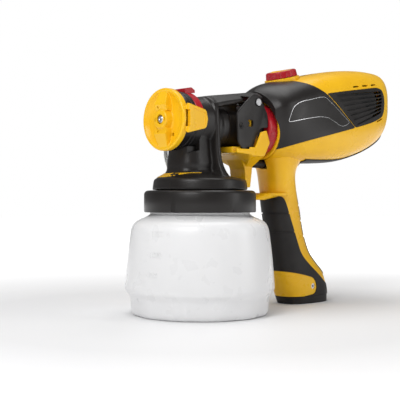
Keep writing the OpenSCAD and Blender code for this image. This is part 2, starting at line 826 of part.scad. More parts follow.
module nozzle() {
    color("goldenrod") difference() {
        turned_x(spray_z, [[-46.5, 0], [-46.5, 2.3], [-38.6, 2.4], [-38.4, 7.6], [-16, 7.6], [-16, 0]]);
        rod_x(-48, -40, 0.95, spray_z);
        rod_x(-43.6, -15, 2.6, spray_z);
    }
}

module nozzle_seal() {
    color("black") translate([-29.5, 0, spray_z]) rotate([0, 90, 0]) rotate_extrude() translate([14, 0])
        circle(r = 1.3, $fn = 24);
}

// ---------- air cap ----------

// A wedge that stands out of the dished face, with an air jet facing the axis.
module cap_horn(up) {
    translate([cap_x, 0, spray_z]) rotate([up ? 0 : 180, 0, 0]) hull() {
        translate([1.6, -8.5, 22]) cube([7.8, 17, 3.2]);
        translate([4.6, -5, 11.5]) cube([4.8, 10, 2]);
    }
}

// The lug behind the cap's rim that the fingers turn it by.
module cap_ear() {
    ear = [[cap_x + 7.4, -13], [cap_x + 7.4, 13], [cap_x + 14, 11.4], [cap_x + 29, 8], [cap_x + 31, 6],
        [cap_x + 31, -6], [cap_x + 29, -8], [cap_x + 14, -11.4]];
    difference() {
        translate([0, 0, spray_z]) slab_y(cap_r - 1.6, cap_r + 2, ear);
        translate([cap_x + 10, cap_r - 4, spray_z - 7.5]) cube([3.4, 12, 15]);
    }
}

module air_cap() {
    color("gold") difference() {
        union() {
            turned_x(spray_z, [[cap_x + 8.2, 0], [cap_x + 8.2, 9], [cap_x + 7, 14], [cap_x + 4.6, cap_r - 6],
                [cap_x + 1.6, cap_r - 2.6], [cap_x, cap_r - 1.8], [cap_x, cap_r - 0.8], [cap_x + 0.8, cap_r],
                [cap_x + 8.4, cap_r], [cap_x + 8.4, 25.4], [cap_x + 9.9, 25.4], [cap_x + 9.9, 0]]);
            rod_x(cap_x + 4, cap_x + 9, 8, spray_z);
            cap_horn(true);
            cap_horn(false);
            both_sides() cap_ear();
        }
        rod_x(cap_x - 1, cap_x + 12, 3, spray_z);
        for (s = [-1, 1])
            translate([cap_x + 5, 0, spray_z + s * 12]) rotate([0, s * 35, 0])
                cylinder(r = 0.9, h = 12, center = true);
        rod_x(cap_x - 1, cap_x + 12, 1.6, spray_z - 13, -16);
    }
}

module union_nut() {
    color("black") turned_x(spray_z, [
        [cap_x + 10.2, 22.2], [cap_x + 10.2, 25.8], [cap_x + 11.2, 26.6], [cap_x + 16, 26.6], [cap_x + 16.6, 25.8],
        [cap_x + 17.6, 25.8], [cap_x + 18.2, 26.6], [cap_x + 22, 26.6], [cap_x + 22, 22.2]]);
}

// The ring that sets the width of the spray, with its thumb lever on top.
module spray_width_ring() {
    color("firebrick") union() {
        turned_x(spray_z, [[cap_x + 22.4, 23], [cap_x + 22.4, 26], [cap_x + 23.2, 26.6], [cap_x + 31, 26.4],
            [cap_x + 31, 23]]);
        difference() {
            translate([0, 0, spray_z])
                slab_y(-8, 8, [[cap_x + 22.4, 26], [cap_x + 22.4, 29.6], [cap_x + 31, 31], [cap_x + 35, 28.4],
                    [cap_x + 35, 26]]);
            rod_x(cap_x + 20, cap_x + 40, 25.6, spray_z);
        }
    }
}

// ---------- venting, suction and container ----------

vent_route = [[-10, 23.2, 176], [-10, 26, 176], [-10.5, 29, 174], [-11.5, 32, 169], [-13, 33.5, 162], [-14, 33.5, 154],
    [-14, 32.5, 147], [-13, 31, 141], [-12, 30, 137], [-12, 30, 134.75]];

function unit(v) = v / norm(v);

// A round tube along a route that bends gently, given as points.
module hose(route, r) {
    sides = 10;
    last = len(route) - 1;
    loft([for (i = [0 : last])
        let (d = unit(route[min(i + 1, last)] - route[max(i - 1, 0)]), u = unit(cross(d, [1, 0, 0.01])), v = cross(d, u))
            [for (k = [0 : sides - 1]) route[i] + r * (cos(360 * k / sides) * u + sin(360 * k / sides) * v)]]);
}

module vent_hose() {
    color("gainsboro") hose(smooth_rows(vent_route, 2), 1.9);
}

// The cap of the vent valve on the lid, which holds the valve's diaphragm.
module vent_valve() {
    color("black") translate([-12, 30, 0]) union() {
        translate([0, 0, 124]) cylinder(r = 7.4, h = 8);
        translate([0, 0, 131]) cylinder(r = 2.9, h = 3.6);
    }
}

module suction_tube() {
    color("white") difference() {
        union() {
            translate([-12, 0, 8]) cylinder(r = 3, h = 116);
            translate([-12, 0, 113]) cylinder(r = 4.6, h = 2);
        }
        translate([-12, 0, 7]) cylinder(r = 2, h = 118);
        translate([-12, 0, 8]) rotate([0, 30, 0]) translate([-8, -8, -4.6]) cube([16, 16, 4]);
    }
}

// The container's outside, from its foot to the mouth, as [radius, z].
function container_outside() = [
    [0, 0], [62, 0], [65, 2.2], [65.6, 6], [65.8, 16], [container_r - 1.6, container_belt_z - 3.6],
    [container_r, container_belt_z], [container_r - 1.2, container_belt_z + 18], [container_r - 3.6, container_belt_z + 42],
    [container_r - 5.2, container_shoulder_z - 4], [container_r - 6.8, container_shoulder_z + 0.6],
    [container_r - 10.4, container_shoulder_z + 4.6], [container_neck_r + 8, container_shoulder_z + 7.2],
    [container_neck_r + 2.4, container_shoulder_z + 9.4], [container_neck_r + 0.4, container_shoulder_z + 11],
    [container_neck_r, container_shoulder_z + 13], [container_neck_r, 112]];

function container_inside() = [
    [container_neck_r - 2.6, 112], [container_neck_r - 2.6, container_shoulder_z + 10],
    [container_neck_r + 5.4, container_shoulder_z + 5], [container_r - 12.4, container_shoulder_z + 2],
    [container_r - 7.6 - container_wall / 2, container_shoulder_z - 3], [container_r - container_wall, container_belt_z + 1],
    [63.6, 15], [63.4, 6], [61, 4], [0, 4]];

module container() {
    color("white") difference() {
        rotate_extrude() polygon(concat(container_outside(), container_inside()));
        for (a = container_flats)
            rotate([0, 0, a]) translate([64.7, -40, -1]) cube([10, 80, 16]);
    }
}

module container_seal() {
    color("black") rotate_extrude() translate([44.5, 112.3]) square([2.4, 1.4]);
}

housing_left();
housing_right();
side_cover_left();
side_cover_right();
filter_grille_left();
filter_grille_right();
air_filter_left();
air_filter_right();
grip_sleeve();
back_spine();
foot_cap();
finger_rest();
knob_bezel();
power_knob();
knob_cap();
knob_shaft();
potentiometer();
speed_board();
micro_switch();
switch_plunger();
coupling_collar();
lock_ring();
air_duct();
duct_seal();
turbine_housing();
impeller_front();
impeller_rear();
motor_shaft();
armature();
commutator();
stator();
motor_bearings();
motor_frame();
carbon_brushes();
cord_bush();
cord_clamp();
housing_screws();
spray_head();
lid_collar();
lid_plate();
head_cover_left();
head_cover_right();
head_screws();
trigger();
trigger_pin();
needle();
needle_spring();
needle_packing();
nozzle();
nozzle_seal();
air_cap();
union_nut();
spray_width_ring();
vent_hose();
vent_valve();
suction_tube();
container();
container_seal();
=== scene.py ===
import json
import math

import bmesh
import bpy
import numpy as np
from mathutils import Matrix, Vector


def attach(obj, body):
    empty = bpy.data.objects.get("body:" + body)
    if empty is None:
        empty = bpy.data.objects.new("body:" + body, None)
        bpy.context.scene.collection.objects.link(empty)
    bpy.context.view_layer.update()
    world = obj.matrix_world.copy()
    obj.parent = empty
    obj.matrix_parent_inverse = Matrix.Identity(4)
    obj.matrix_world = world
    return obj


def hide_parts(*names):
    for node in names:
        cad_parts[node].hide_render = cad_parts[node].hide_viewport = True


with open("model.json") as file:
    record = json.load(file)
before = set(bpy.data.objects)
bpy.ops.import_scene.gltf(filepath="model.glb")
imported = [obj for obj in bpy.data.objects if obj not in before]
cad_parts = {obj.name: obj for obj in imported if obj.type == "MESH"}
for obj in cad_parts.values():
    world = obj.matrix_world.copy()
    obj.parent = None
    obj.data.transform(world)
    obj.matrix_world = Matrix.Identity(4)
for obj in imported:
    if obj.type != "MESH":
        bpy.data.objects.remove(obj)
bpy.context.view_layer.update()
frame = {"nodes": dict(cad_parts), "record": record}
NODES = frame["nodes"]
MM = 0.001
scene = bpy.context.scene

# ---------------------------------------------------------------- mesh tools


def make(name, verts, faces, scale=MM):
    """A new object from vertices in millimetres."""
    mesh = bpy.data.meshes.new(name)
    mesh.from_pydata([tuple(float(c) * scale for c in v) for v in verts], [], faces)
    mesh.update()
    ob = bpy.data.objects.new(name, mesh)
    scene.collection.objects.link(ob)
    outward(ob)
    return ob


def outward(ob):
    bm = bmesh.new()
    bm.from_mesh(ob.data)
    bmesh.ops.remove_doubles(bm, verts=bm.verts, dist=2e-6)
    bmesh.ops.recalc_face_normals(bm, faces=bm.faces)
    bm.to_mesh(ob.data)
    bm.free()
    ob.data.update()


def loft(name, rings, closed=True):
    """A skin over rings that all hold the same number of points, with its ends closed."""
    n = len(rings[0])
    verts = [p for r in rings for p in r]
    faces = []
    for i in range(len(rings) - 1):
        for k in range(n):
            a, b = i * n + k, i * n + (k + 1) % n
            faces.append((a, b, b + n, a + n))
    if closed:
        faces.append(tuple(range(n)))
        faces.append(tuple(range((len(rings) - 1) * n, len(rings) * n)))
    return make(name, verts, faces)


def catmull(rows, steps):
    """Smooth rows put between the rows of a table."""
    rows = np.array(rows, float)
    last = len(rows) - 1
    out = []
    for i in range(last):
        a, b, c, d = rows[max(i - 1, 0)], rows[i], rows[i + 1], rows[min(i + 2, last)]
        for k in range(steps):
            t = k / steps
            out.append(0.5 * (2 * b + t * (c - a) + t * t * (2 * a - 5 * b + 4 * c - d)
                              + t ** 3 * (3 * b - 3 * c + d - a)))
    out.append(rows[last])
    return out


def super_ring(a, b, p, n):
    """A rounded-square outline with half sizes a and b; squareness 2 is an ellipse."""
    t = 2 * math.pi * (np.arange(n) + 0.5) / n
    c, s = np.cos(t), np.sin(t)
    return np.stack([a * np.sign(c) * np.abs(c) ** (2 / p), b * np.sign(s) * np.abs(s) ** (2 / p)], 1)


def egg_ring(a, below, above, p_below, p_above, n):
    """The same with its own depth and squareness below and above its widest point."""
    low, high = super_ring(a, below, p_below, n), super_ring(a, above, p_above, n)
    return np.where(low[:, 1:] < 0, low, high)


def rounded(points, per=6):
    """An outline whose corners are rounded: each point is (u, v, distance kept from the corner)."""
    out = []
    n = len(points)
    for i, p in enumerate(points):
        u = Vector(p[:2])
        r = p[2] if len(p) > 2 else 0
        if not r:
            out.append(tuple(u))
            continue
        before, after = Vector(points[i - 1][:2]) - u, Vector(points[(i + 1) % n][:2]) - u
        a = u + before.normalized() * min(r, before.length * 0.49)
        b = u + after.normalized() * min(r, after.length * 0.49)
        for k in range(per + 1):
            t = k / per
            out.append(tuple(a * (1 - t) ** 2 + u * 2 * t * (1 - t) + b * t * t))
    return out


def prism_y(points, y0, y1, name="prism"):
    """An outline in X and Z made solid between y0 and y1."""
    n = len(points)
    verts = [(x, y0, z) for x, z in points] + [(x, y1, z) for x, z in points]
    faces = [tuple(range(n)), tuple(range(2 * n - 1, n - 1, -1))]
    faces += [(k, (k + 1) % n, (k + 1) % n + n, k + n) for k in range(n)]
    return make(name, verts, faces)


def block(x0, x1, y0, y1, z0, z1):
    return prism_y([(x0, z0), (x1, z0), (x1, z1), (x0, z1)], y0, y1, "block")


def pin_y(x, z, r, y0, y1, n=24):
    """A round pin along Y."""
    angles = np.arange(n) * math.pi / (n / 2)
    return prism_y([(x + r * math.cos(a), z + r * math.sin(a)) for a in angles], y0, y1)


def lathe(name, profile, segments=96, axis="Z", centre=(0, 0, 0)):
    """A profile of (along, radius) turned about an axis; closed where it meets the axis."""
    rings = []
    for along, r in profile:
        ring = []
        for k in range(segments):
            a = 2 * math.pi * k / segments
            u, v = r * math.cos(a), r * math.sin(a)
            p = (u, v, along) if axis == "Z" else (along, u, v)
            ring.append(tuple(p[i] + centre[i] for i in range(3)))
        rings.append(ring)
    return loft(name, rings)


def hull(points, name="hull"):
    """The convex solid round some points, in millimetres."""
    bm = bmesh.new()
    for p in points:
        bm.verts.new([c * MM for c in p])
    bmesh.ops.convex_hull(bm, input=bm.verts)
    mesh = bpy.data.meshes.new(name)
    bm.to_mesh(mesh)
    bm.free()
    ob = bpy.data.objects.new(name, mesh)
    scene.collection.objects.link(ob)
    outward(ob)
    return ob


def box_corners(x0, x1, y0, y1, z0, z1):
    return [(x, y, z) for x in (x0, x1) for y in (y0, y1) for z in (z0, z1)]


def tube(name, route, r, sides=20):
    """A round tube along a smooth route of points."""
    pts = [Vector(p) for p in route]
    rings = []
    for i, p in enumerate(pts):
        d = (pts[min(i + 1, len(pts) - 1)] - pts[max(i - 1, 0)]).normalized()
        u = d.cross(Vector((1, 0, 0.01))).normalized()
        v = d.cross(u)
        rings.append([tuple(p + r * (math.cos(a) * u + math.sin(a) * v))
                      for a in (2 * math.pi * k / sides for k in range(sides))])
    return loft(name, rings)


def evaluated(ob):
    """The object's mesh with its modifiers put in."""
    dg = bpy.context.evaluated_depsgraph_get()
    dg.update()
    mesh = bpy.data.meshes.new_from_object(ob.evaluated_get(dg))
    ob.modifiers.clear()
    ob.data = mesh
    return ob


def boolean(ob, cutters, operation):
    for cutter in cutters if isinstance(cutters, (list, tuple)) else [cutters]:
        m = ob.modifiers.new("b", "BOOLEAN")
        m.object, m.operation, m.solver = cutter, operation, "EXACT"
    evaluated(ob)
    return ob


def cut(ob, *cutters):
    boolean(ob, cutters, "DIFFERENCE")
    drop(*cutters)
    return ob


def keep(ob, *cutters):
    boolean(ob, cutters, "INTERSECT")
    drop(*cutters)
    return ob


def join(ob, *others):
    boolean(ob, others, "UNION")
    drop(*others)
    return ob


def drop(*obs):
    for o in obs:
        bpy.data.objects.remove(o)


def copy(ob, name="copy"):
    o = bpy.data.objects.new(name, ob.data.copy())
    scene.collection.objects.link(o)
    return o


def mirrored(ob, name):
    """The mirror image in Y of a finished piece."""
    o = copy(ob, name)
    o.data.transform(Matrix.Diagonal((1, -1, 1, 1)))
    o.data.flip_normals()
    return o


def moulded(parts, voxel, rounds, name="moulded"):
    """Overlapping solids grown together into one moulding with soft edges and fillets."""
    bm = bmesh.new()
    for part in parts:
        bm.from_mesh(part.data)
    mesh = bpy.data.meshes.new(name)
    bm.to_mesh(mesh)
    bm.free()
    drop(*parts)
    ob = bpy.data.objects.new(name, mesh)
    scene.collection.objects.link(ob)
    m = ob.modifiers.new("grow", "REMESH")
    m.mode, m.voxel_size, m.use_smooth_shade = "VOXEL", voxel * MM, True
    m = ob.modifiers.new("soften", "SMOOTH")
    m.factor, m.iterations = 0.5, rounds
    return evaluated(ob)


def from_cad(node):
    """A copy of a CAD solid's mesh, to be reworked into a finished piece."""
    ob = copy(NODES[node], node + "_copy")
    ob.data.materials.clear()
    outward(ob)
    return ob


def finish_surface(ob, angle=32, bevel=0.0, segments=2):
    """Smooth shading with crisp edges kept, and a small rounding on them."""
    bm = bmesh.new()
    bm.from_mesh(ob.data)
    bmesh.ops.remove_doubles(bm, verts=bm.verts, dist=5e-6)
    bmesh.ops.dissolve_degenerate(bm, edges=bm.edges, dist=5e-6)
    bm.to_mesh(ob.data)
    bm.free()
    if bevel:
        b = ob.modifiers.new("edge", "BEVEL")
        b.width, b.segments = bevel * MM, segments
        b.limit_method, b.angle_limit = "ANGLE", math.radians(angle)
        b.harden_normals = False
    ob.data.shade_smooth()
    ob.data.set_sharp_from_angle(angle=math.radians(angle))
    return ob


# ---------------------------------------------------------------- materials


def principled(name):
    m = bpy.data.materials.new(name)
    m.use_nodes = True
    return m, m.node_tree.nodes, m.node_tree.links, m.node_tree.nodes["Principled BSDF"]


def noise(nodes, links, coord, scale, detail=3.0, rough=0.5):
    n = nodes.new("ShaderNodeTexNoise")
    n.inputs["Scale"].default_value = scale
    n.inputs["Detail"].default_value = detail
    n.inputs["Roughness"].default_value = rough
    links.new(coord, n.inputs["Vector"])
    return n.outputs["Fac"]


def ramp_to(nodes, links, fac, low, high, lo=0.3, hi=0.7):
    r = nodes.new("ShaderNodeMapRange")
    r.inputs["From Min"].default_value = lo
    r.inputs["From Max"].default_value = hi
    r.inputs["To Min"].default_value = low
    r.inputs["To Max"].default_value = high
    links.new(fac, r.inputs["Value"])
    return r.outputs["Result"]


def mix_colour(nodes, links, fac, a, b):
    m = nodes.new("ShaderNodeMix")
    m.data_type = "RGBA"
    links.new(fac, m.inputs["Factor"])
    for socket, v in ((m.inputs["A"], a), (m.inputs["B"], b)):
        if isinstance(v, tuple):
            socket.default_value = (*v, 1)
        else:
            links.new(v, socket)
    return m.outputs["Result"]


def surface(name, colour, rough=0.35, vary=0.08, grain=1400, grain_depth=0.02, metallic=0.0, coat=0.0,
            streak=None, tint=None, rough_vary=0.06):
    """A moulded or machined surface: drifting colour, uneven gloss, a fine grain and faint handling marks."""
    m, nodes, links, shader = principled(name)
    coord = nodes.new("ShaderNodeTexCoord").outputs["Object"]
    broad = noise(nodes, links, coord, 22, 4)
    dark = tuple(c * (1 - vary) for c in colour)
    light = tint or tuple(min(1, c * (1 + vary * 0.6)) for c in colour)
    base = mix_colour(nodes, links, ramp_to(nodes, links, broad, 0, 1), dark, light)
    marks = noise(nodes, links, coord, 160, 6, 0.7)
    specks = ramp_to(nodes, links, marks, 0, 0.35, 0.62, 0.8)
    base = mix_colour(nodes, links, specks, base, tuple(min(1, c * 0.82 + 0.012) for c in colour))
    links.new(base, shader.inputs["Base Color"])
    shader.inputs["Metallic"].default_value = metallic
    shader.inputs["Specular IOR Level"].default_value = 0.5 if metallic else 0.34
    shader.inputs["Coat Weight"].default_value = coat
    shader.inputs["Coat Roughness"].default_value = 0.12
    uneven = noise(nodes, links, coord, 60, 5)
    links.new(ramp_to(nodes, links, uneven, rough - rough_vary, rough + rough_vary),
              shader.inputs["Roughness"])
    vector = coord
    if streak:
        mapping = nodes.new("ShaderNodeMapping")
        mapping.inputs["Scale"].default_value = streak
        links.new(coord, mapping.inputs["Vector"])
        vector = mapping.outputs["Vector"]
    fine = noise(nodes, links, vector, grain, 2)
    bump = nodes.new("ShaderNodeBump")
    bump.inputs["Strength"].default_value = 0.55
    bump.inputs["Distance"].default_value = grain_depth * MM
    links.new(fine, bump.inputs["Height"])
    soft = nodes.new("ShaderNodeBump")
    soft.inputs["Strength"].default_value = 0.35
    soft.inputs["Distance"].default_value = 0.15 * MM
    links.new(noise(nodes, links, coord, 90, 2), soft.inputs["Height"])
    links.new(bump.outputs["Normal"], soft.inputs["Normal"])
    links.new(soft.outputs["Normal"], shader.inputs["Normal"])
    return m


MATERIAL = {
    "yellow_plastic": surface("yellow_plastic", (0.87, 0.465, 0.006), 0.3, 0.05, 900, 0.015,
                              tint=(0.91, 0.52, 0.009)),
    "charcoal_plastic": surface("charcoal_plastic", (0.014, 0.012, 0.0112), 0.36, 0.1, 1600, 0.05),
    "black_plastic": surface("black_plastic", (0.008, 0.0072, 0.0072), 0.34, 0.1, 1400, 0.03),
    "soft_grip": surface("soft_grip", (0.012, 0.010, 0.0095), 0.55, 0.12, 1900, 0.09),
    "red_plastic": surface("red_plastic", (0.40, 0.008, 0.016), 0.28, 0.08, 900, 0.015),
    "filter_foam": surface("filter_foam", (0.05, 0.05, 0.05), 0.9, 0.3, 700, 0.5),
    "steel": surface("steel", (0.62, 0.62, 0.63), 0.28, 0.06, 900, 0.02, metallic=1, streak=(1, 12, 1)),
    "circuit_board": surface("circuit_board", (0.02, 0.13, 0.05), 0.4, 0.2, 500, 0.05),
    "turbine_metal": surface("turbine_metal", (0.68, 0.68, 0.69), 0.36, 0.06, 900, 0.02, metallic=1),
    "copper": surface("copper", (0.62, 0.26, 0.12), 0.32, 0.15, 900, 0.04, metallic=1, streak=(14, 1, 1)),
    "lamination": surface("lamination", (0.12, 0.12, 0.125), 0.5, 0.2, 900, 0.1, metallic=0.8,
                          streak=(30, 1, 1)),
    "carbon": surface("carbon", (0.03, 0.03, 0.03), 0.7, 0.2, 900, 0.1),
    "seal_rubber": surface("seal_rubber", (0.015, 0.015, 0.015), 0.55, 0.1, 1200, 0.05),
    "white_plastic": surface("white_plastic", (0.82, 0.82, 0.80), 0.35, 0.03, 900, 0.02),
    "nozzle_brass": surface("nozzle_brass", (0.75, 0.52, 0.20), 0.25, 0.08, 900, 0.02, metallic=1,
                            streak=(1, 14, 14)),
}


def milky(name, colour, rough, transmission, weight):
    """Translucent moulded plastic: light passes and scatters in it."""
    m, nodes, links, shader = principled(name)
    coord = nodes.new("ShaderNodeTexCoord").outputs["Object"]
    broad = noise(nodes, links, coord, 14, 3)
    dark = tuple(c * 0.99 for c in colour)
    base = mix_colour(nodes, links, ramp_to(nodes, links, broad, 0, 1), dark, colour)
    links.new(base, shader.inputs["Base Color"])
    shader.inputs["Subsurface Weight"].default_value = weight
    shader.inputs["Subsurface Radius"].default_value = (0.02, 0.02, 0.02)
    shader.inputs["Subsurface Scale"].default_value = 0.1
    shader.inputs["Transmission Weight"].default_value = transmission
    shader.inputs["IOR"].default_value = 1.5
    links.new(ramp_to(nodes, links, noise(nodes, links, coord, 50, 4), rough - 0.05, rough + 0.05),
              shader.inputs["Roughness"])
    bump = nodes.new("ShaderNodeBump")
    bump.inputs["Strength"].default_value = 0.3
    bump.inputs["Distance"].default_value = 0.05 * MM
    links.new(noise(nodes, links, coord, 500, 3), bump.inputs["Height"])
    links.new(bump.outputs["Normal"], shader.inputs["Normal"])
    return m


MATERIAL["milky_plastic"] = milky("milky_plastic", (0.84, 0.84, 0.845), 0.3, 0.0, 0.1)
MATERIAL["clear_hose"] = milky("clear_hose", (0.86, 0.88, 0.88), 0.15, 0.55, 0.0)

SLOT_OF = {s["node"]: s["material_slot"] for s in frame["record"]["subparts"]}


def dress(ob, slot):
    ob.data.materials.clear()
    ob.data.materials.append(MATERIAL[slot])


def piece(ob, name, body, slot, *nodes):
    """A finished visible piece: its name, body, finish, and the CAD nodes it stands for."""
    ob.name = ob.data.name = name
    dress(ob, slot)
    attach(ob, body)
    if nodes:
        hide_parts(*nodes)
    return ob


for node_name, cad in NODES.items():
    dress(cad, SLOT_OF[node_name])
    cad.data.shade_smooth()
    cad.data.set_sharp_from_angle(angle=math.radians(30))

# ---------------------------------------------------------------- gun forms

# Rows along X: x, bottom, top, half width, squareness below and above, height of the widest line, forward lean.
BODY_ROWS = [
    (73, 151, 216, 28, 2.2, 1.5, 196, 6), (79, 148.5, 221, 34, 2.4, 1.6, 199, 5),
    (90, 146.5, 225.5, 37.5, 2.7, 1.8, 201, 3), (112, 146, 230.5, 40.5, 3, 2.3, 200, 1),
    (145, 147, 238.5, 42, 3.3, 3, 198, 0), (180, 149, 245.5, 42, 3.3, 3.3, 199, 0),
    (215, 157, 249.5, 40.5, 3.2, 3.2, 204, 0), (245, 168, 250.5, 35.5, 3, 3, 210, 0),
    (262, 179, 249.5, 28, 2.8, 2.8, 214, 0), (274, 192, 244.5, 18, 2.5, 2.5, 218, 0),
    (280, 206, 236, 9, 2.2, 2.2, 221, 0)]
# Rows along Z: z, front, back, half width, squareness.
HANDLE_ROWS = [
    (0, 118, 178, 17.5, 2.8), (14, 112, 177, 18.5, 2.8), (30, 107, 171, 18.5, 2.7),
    (42, 104.5, 158.5, 17.8, 2.6), (54, 102, 147.5, 17.2, 2.5), (74, 98.5, 138.5, 17, 2.4),
    (96, 94.5, 133, 17.2, 2.4), (118, 91.5, 127, 18, 2.4), (136, 89, 125, 19.5, 2.4),
    (150, 84, 134, 23, 2.5), (166, 82, 153, 28, 2.6)]
WALL = 2.4
PANEL_GAP, GRIP_GAP = 0.22, 0.15
CORD_Z, CORD_HOLE_R = 13, 5.3
FOOT_SCREW, HEAD_SCREW, TRIGGER_PIN = (144, 18), (29, 178), (52, 201.7)


def body_form(inset, n=112, steps=9):
    rings = []
    for x, bottom, top, half_y, p_below, p_above, mid, lean in catmull(BODY_ROWS, steps):
        along = x + inset * max(-1, min(1, (177 - x) / 107))
        ring = egg_ring(half_y - inset, mid - bottom - inset, top - mid - inset, p_below, p_above, n)
        rings.append([(along + lean * (top - mid - v) / (top - bottom), u, mid + v) for u, v in ring])
    return loft("body", rings)


def handle_form(inset, n=72, steps=8):
    rings = []
    for z, front, back, half_y, p in catmull(HANDLE_ROWS, steps):
        half, mid = (back - front) / 2 - inset, (front + back) / 2
        ring = super_ring(half, half_y - inset, p, n)
        rings.append([(mid + u, v, z) for u, v in ring])
    return loft("handle", rings)


def gun_form(inset):
    return join(body_form(inset), handle_form(inset))


# Outlines seen from the side, in X and Z; the third number is a corner's radius.
COVER = rounded([(40, 130), (40, 245), (84, 245), (98, 232.4, 6), (118, 227.4, 14), (139.4, 215.6, 3),
                 (185, 183.4, 3), (146, 174.6, 20), (113, 167, 16), (84.5, 158.7, 10), (72, 151.5, 6),
                 (56, 142)])
GRILLE = rounded([(139.6, 216.2, 3), (171, 221.4, 20), (202, 226, 20), (230, 230.4, 10), (242, 228.6, 8),
                  (246.5, 215, 12), (242, 199.4, 9), (218, 191, 20), (185.4, 183.6, 3)])
SLEEVE = rounded([(60, 111.5), (99, 111.5, 4), (102.6, 107, 4), (121.5, 62, 12), (127, 51, 8), (138, 41, 8),
                  (152.5, 30.5, 8), (167, 20, 4), (205, 12), (205, 8), (131, 8), (147, 10, 4), (149.5, 18, 6),
                  (145, 26.5, 5), (128, 31, 14), (106, 35, 10), (60, 38)])


def shrink(points, gap):
    """An outline drawn in by gap, which makes the joint between two panels."""
    n = len(points)
    area = sum(a[0] * b[1] - b[0] * a[1] for a, b in zip(points, points[1:] + points[:1]))
    turn = 1 if area > 0 else -1
    out = []
    for i in range(n):
        a, b, c = Vector(points[i - 1]), Vector(points[i]), Vector(points[(i + 1) % n])
        e0, e1 = (b - a), (c - b)
        if e0.length < 1e-6 or e1.length < 1e-6:
            continue
        n0 = Vector((-e0.y, e0.x)).normalized() * turn
        n1 = Vector((-e1.y, e1.x)).normalized() * turn
        m = (n0 + n1)
        m = m / max(m.length_squared / 2, 0.4)
        out.append(tuple(b + m * gap))
    return out


KNOB_X, KNOB_Z, KNOB_TILT, KNOB_R = 116, 232, 14, 16.4
DUCT_Z, SPRAY_Z = 177.5, 181
KNOB_PLACE = (Matrix.Translation((KNOB_X * MM, 0, KNOB_Z * MM))
              @ Matrix.Rotation(math.radians(-KNOB_TILT), 4, "Y"))


def knob_place(ob):
    ob.data.transform(KNOB_PLACE)
    return ob


def front_openings():
    plug = lathe("hole", [(60, 29.9), (97, 29.9)], 96, "X", (0, 0, DUCT_Z))
    deck = knob_place(lathe("hole", [(-9, KNOB_R + 1.75), (12, KNOB_R + 1.75)], 96))
    return [plug, deck, block(76, 96, -4.6, 4.6, 139, 148.2)]


# Side cover, left half, then its mirror image.
cover = keep(body_form(-0.3), prism_y(shrink(COVER, PANEL_GAP), -60, -0.05))
cut(cover, body_form(WALL), *front_openings())
finish_surface(cover, 30, 0.35)
cover_right = mirrored(cover, "side_cover_right_skin")
piece(cover, "side_cover_left_skin", "gun", "charcoal_plastic", "side_cover_left")
piece(cover_right, "side_cover_right_skin", "gun", "charcoal_plastic", "side_cover_right")

# Grille with louvres: shallow grooves in front, open slots behind.
grille = keep(body_form(-0.2), prism_y(shrink(GRILLE, PANEL_GAP), -60, -2))
cut(grille, body_form(WALL))
for i in range(7):
    t = (i + 0.8) / 7.4
    z_front, z_back = 218.4 - t * 33.5, 228.3 - t * 26.5
    x_front, x_back = 148.5 + t * 43, 238.5 - abs(t - 0.42) * 6
    h = 1.25
    slot = [(x_front, z_front - h), (x_front, z_front + h), (x_back, z_back + h), (x_back, z_back - h)]
    x_mid = x_front + (x_back - x_front) * (0.36 + 0.05 * i)
    z_mid = z_front + (z_back - z_front) * (x_mid - x_front) / (x_back - x_front)
    through = [(x_mid, z_mid - h), (x_mid, z_mid + h), (x_back, z_back + h), (x_back, z_back - h)]
    groove = cut(prism_y(rounded([(*p, 1.0) for p in slot], 3), -70, -16, "groove"), body_form(1.3))
    cut(grille, groove)
    cut(grille, prism_y(rounded([(*p, 1.0) for p in through], 3), -71, -15, "slot"))
finish_surface(grille, 30)
grille_right = mirrored(grille, "grille_right_skin")
piece(grille, "grille_left_skin", "left_grille", "charcoal_plastic", "filter_grille_left")
piece(grille_right, "grille_right_skin", "right_grille", "charcoal_plastic", "filter_grille_right")

# Yellow housing.
outer, inner = gun_form(0), gun_form(WALL)
housing = keep(copy(outer), block(0, 400, -80, -0.05, -5, 300))
cut(housing, copy(inner))
cut(housing, keep(prism_y(COVER, -70, 0, "c"), block(0, 300, -80, 1, 136, 300)), prism_y(GRILLE, -70, -1.9))
cut(housing, prism_y(SLEEVE, -70, 5), block(100, 200, -30, 30, -1, 8))
cut(housing, *front_openings())
SPINE = [(141, 29), (196, 29), (196, 160), (118, 160), (118, 118), (122, 90), (125.5, 64), (135, 44)]
BELLY = [(126, 130), (262, 130), (276, 190), (262, 182), (245, 170.6), (215, 159), (180, 151.4), (150, 149.6),
         (126, 150.5)]
cut(housing, prism_y(SPINE, -11, 20), prism_y(BELLY, -24, 20))
cut(housing, lathe("h", [(160, CORD_HOLE_R), (200, CORD_HOLE_R)], 32, "X", (0, 0, CORD_Z)))
cut(housing, pin_y(*FOOT_SCREW, 3.1, -30, -6))
cut(housing, cut(block(138, 166, -9, 9, 225, 262), body_form(1.6, 96, 6)))
for x in (183.5, 200.5, 217.5):
    t = (x - 183.5) / 34
    dash = [(x, 225.8 + 5 * t), (x, 227.4 + 5 * t), (x + 10.4, 228.9 + 5 * t), (x + 10.4, 227.3 + 5 * t)]
    cut(housing, prism_y(rounded([(*p, 0.7) for p in dash], 3), -70, -25, "dash"))
low_dash = rounded([(227, 191.6, 0.7), (227, 193.2, 0.7), (240, 197.8, 0.7), (240, 196.2, 0.7)], 3)
cut(housing, prism_y(low_dash, -70, -20))
finish_surface(housing, 30, 0.3)
housing_right = mirrored(housing, "housing_right_skin")
piece(housing, "housing_left_skin", "gun", "yellow_plastic", "housing_left")
piece(housing_right, "housing_right_skin", "gun", "yellow_plastic", "housing_right")

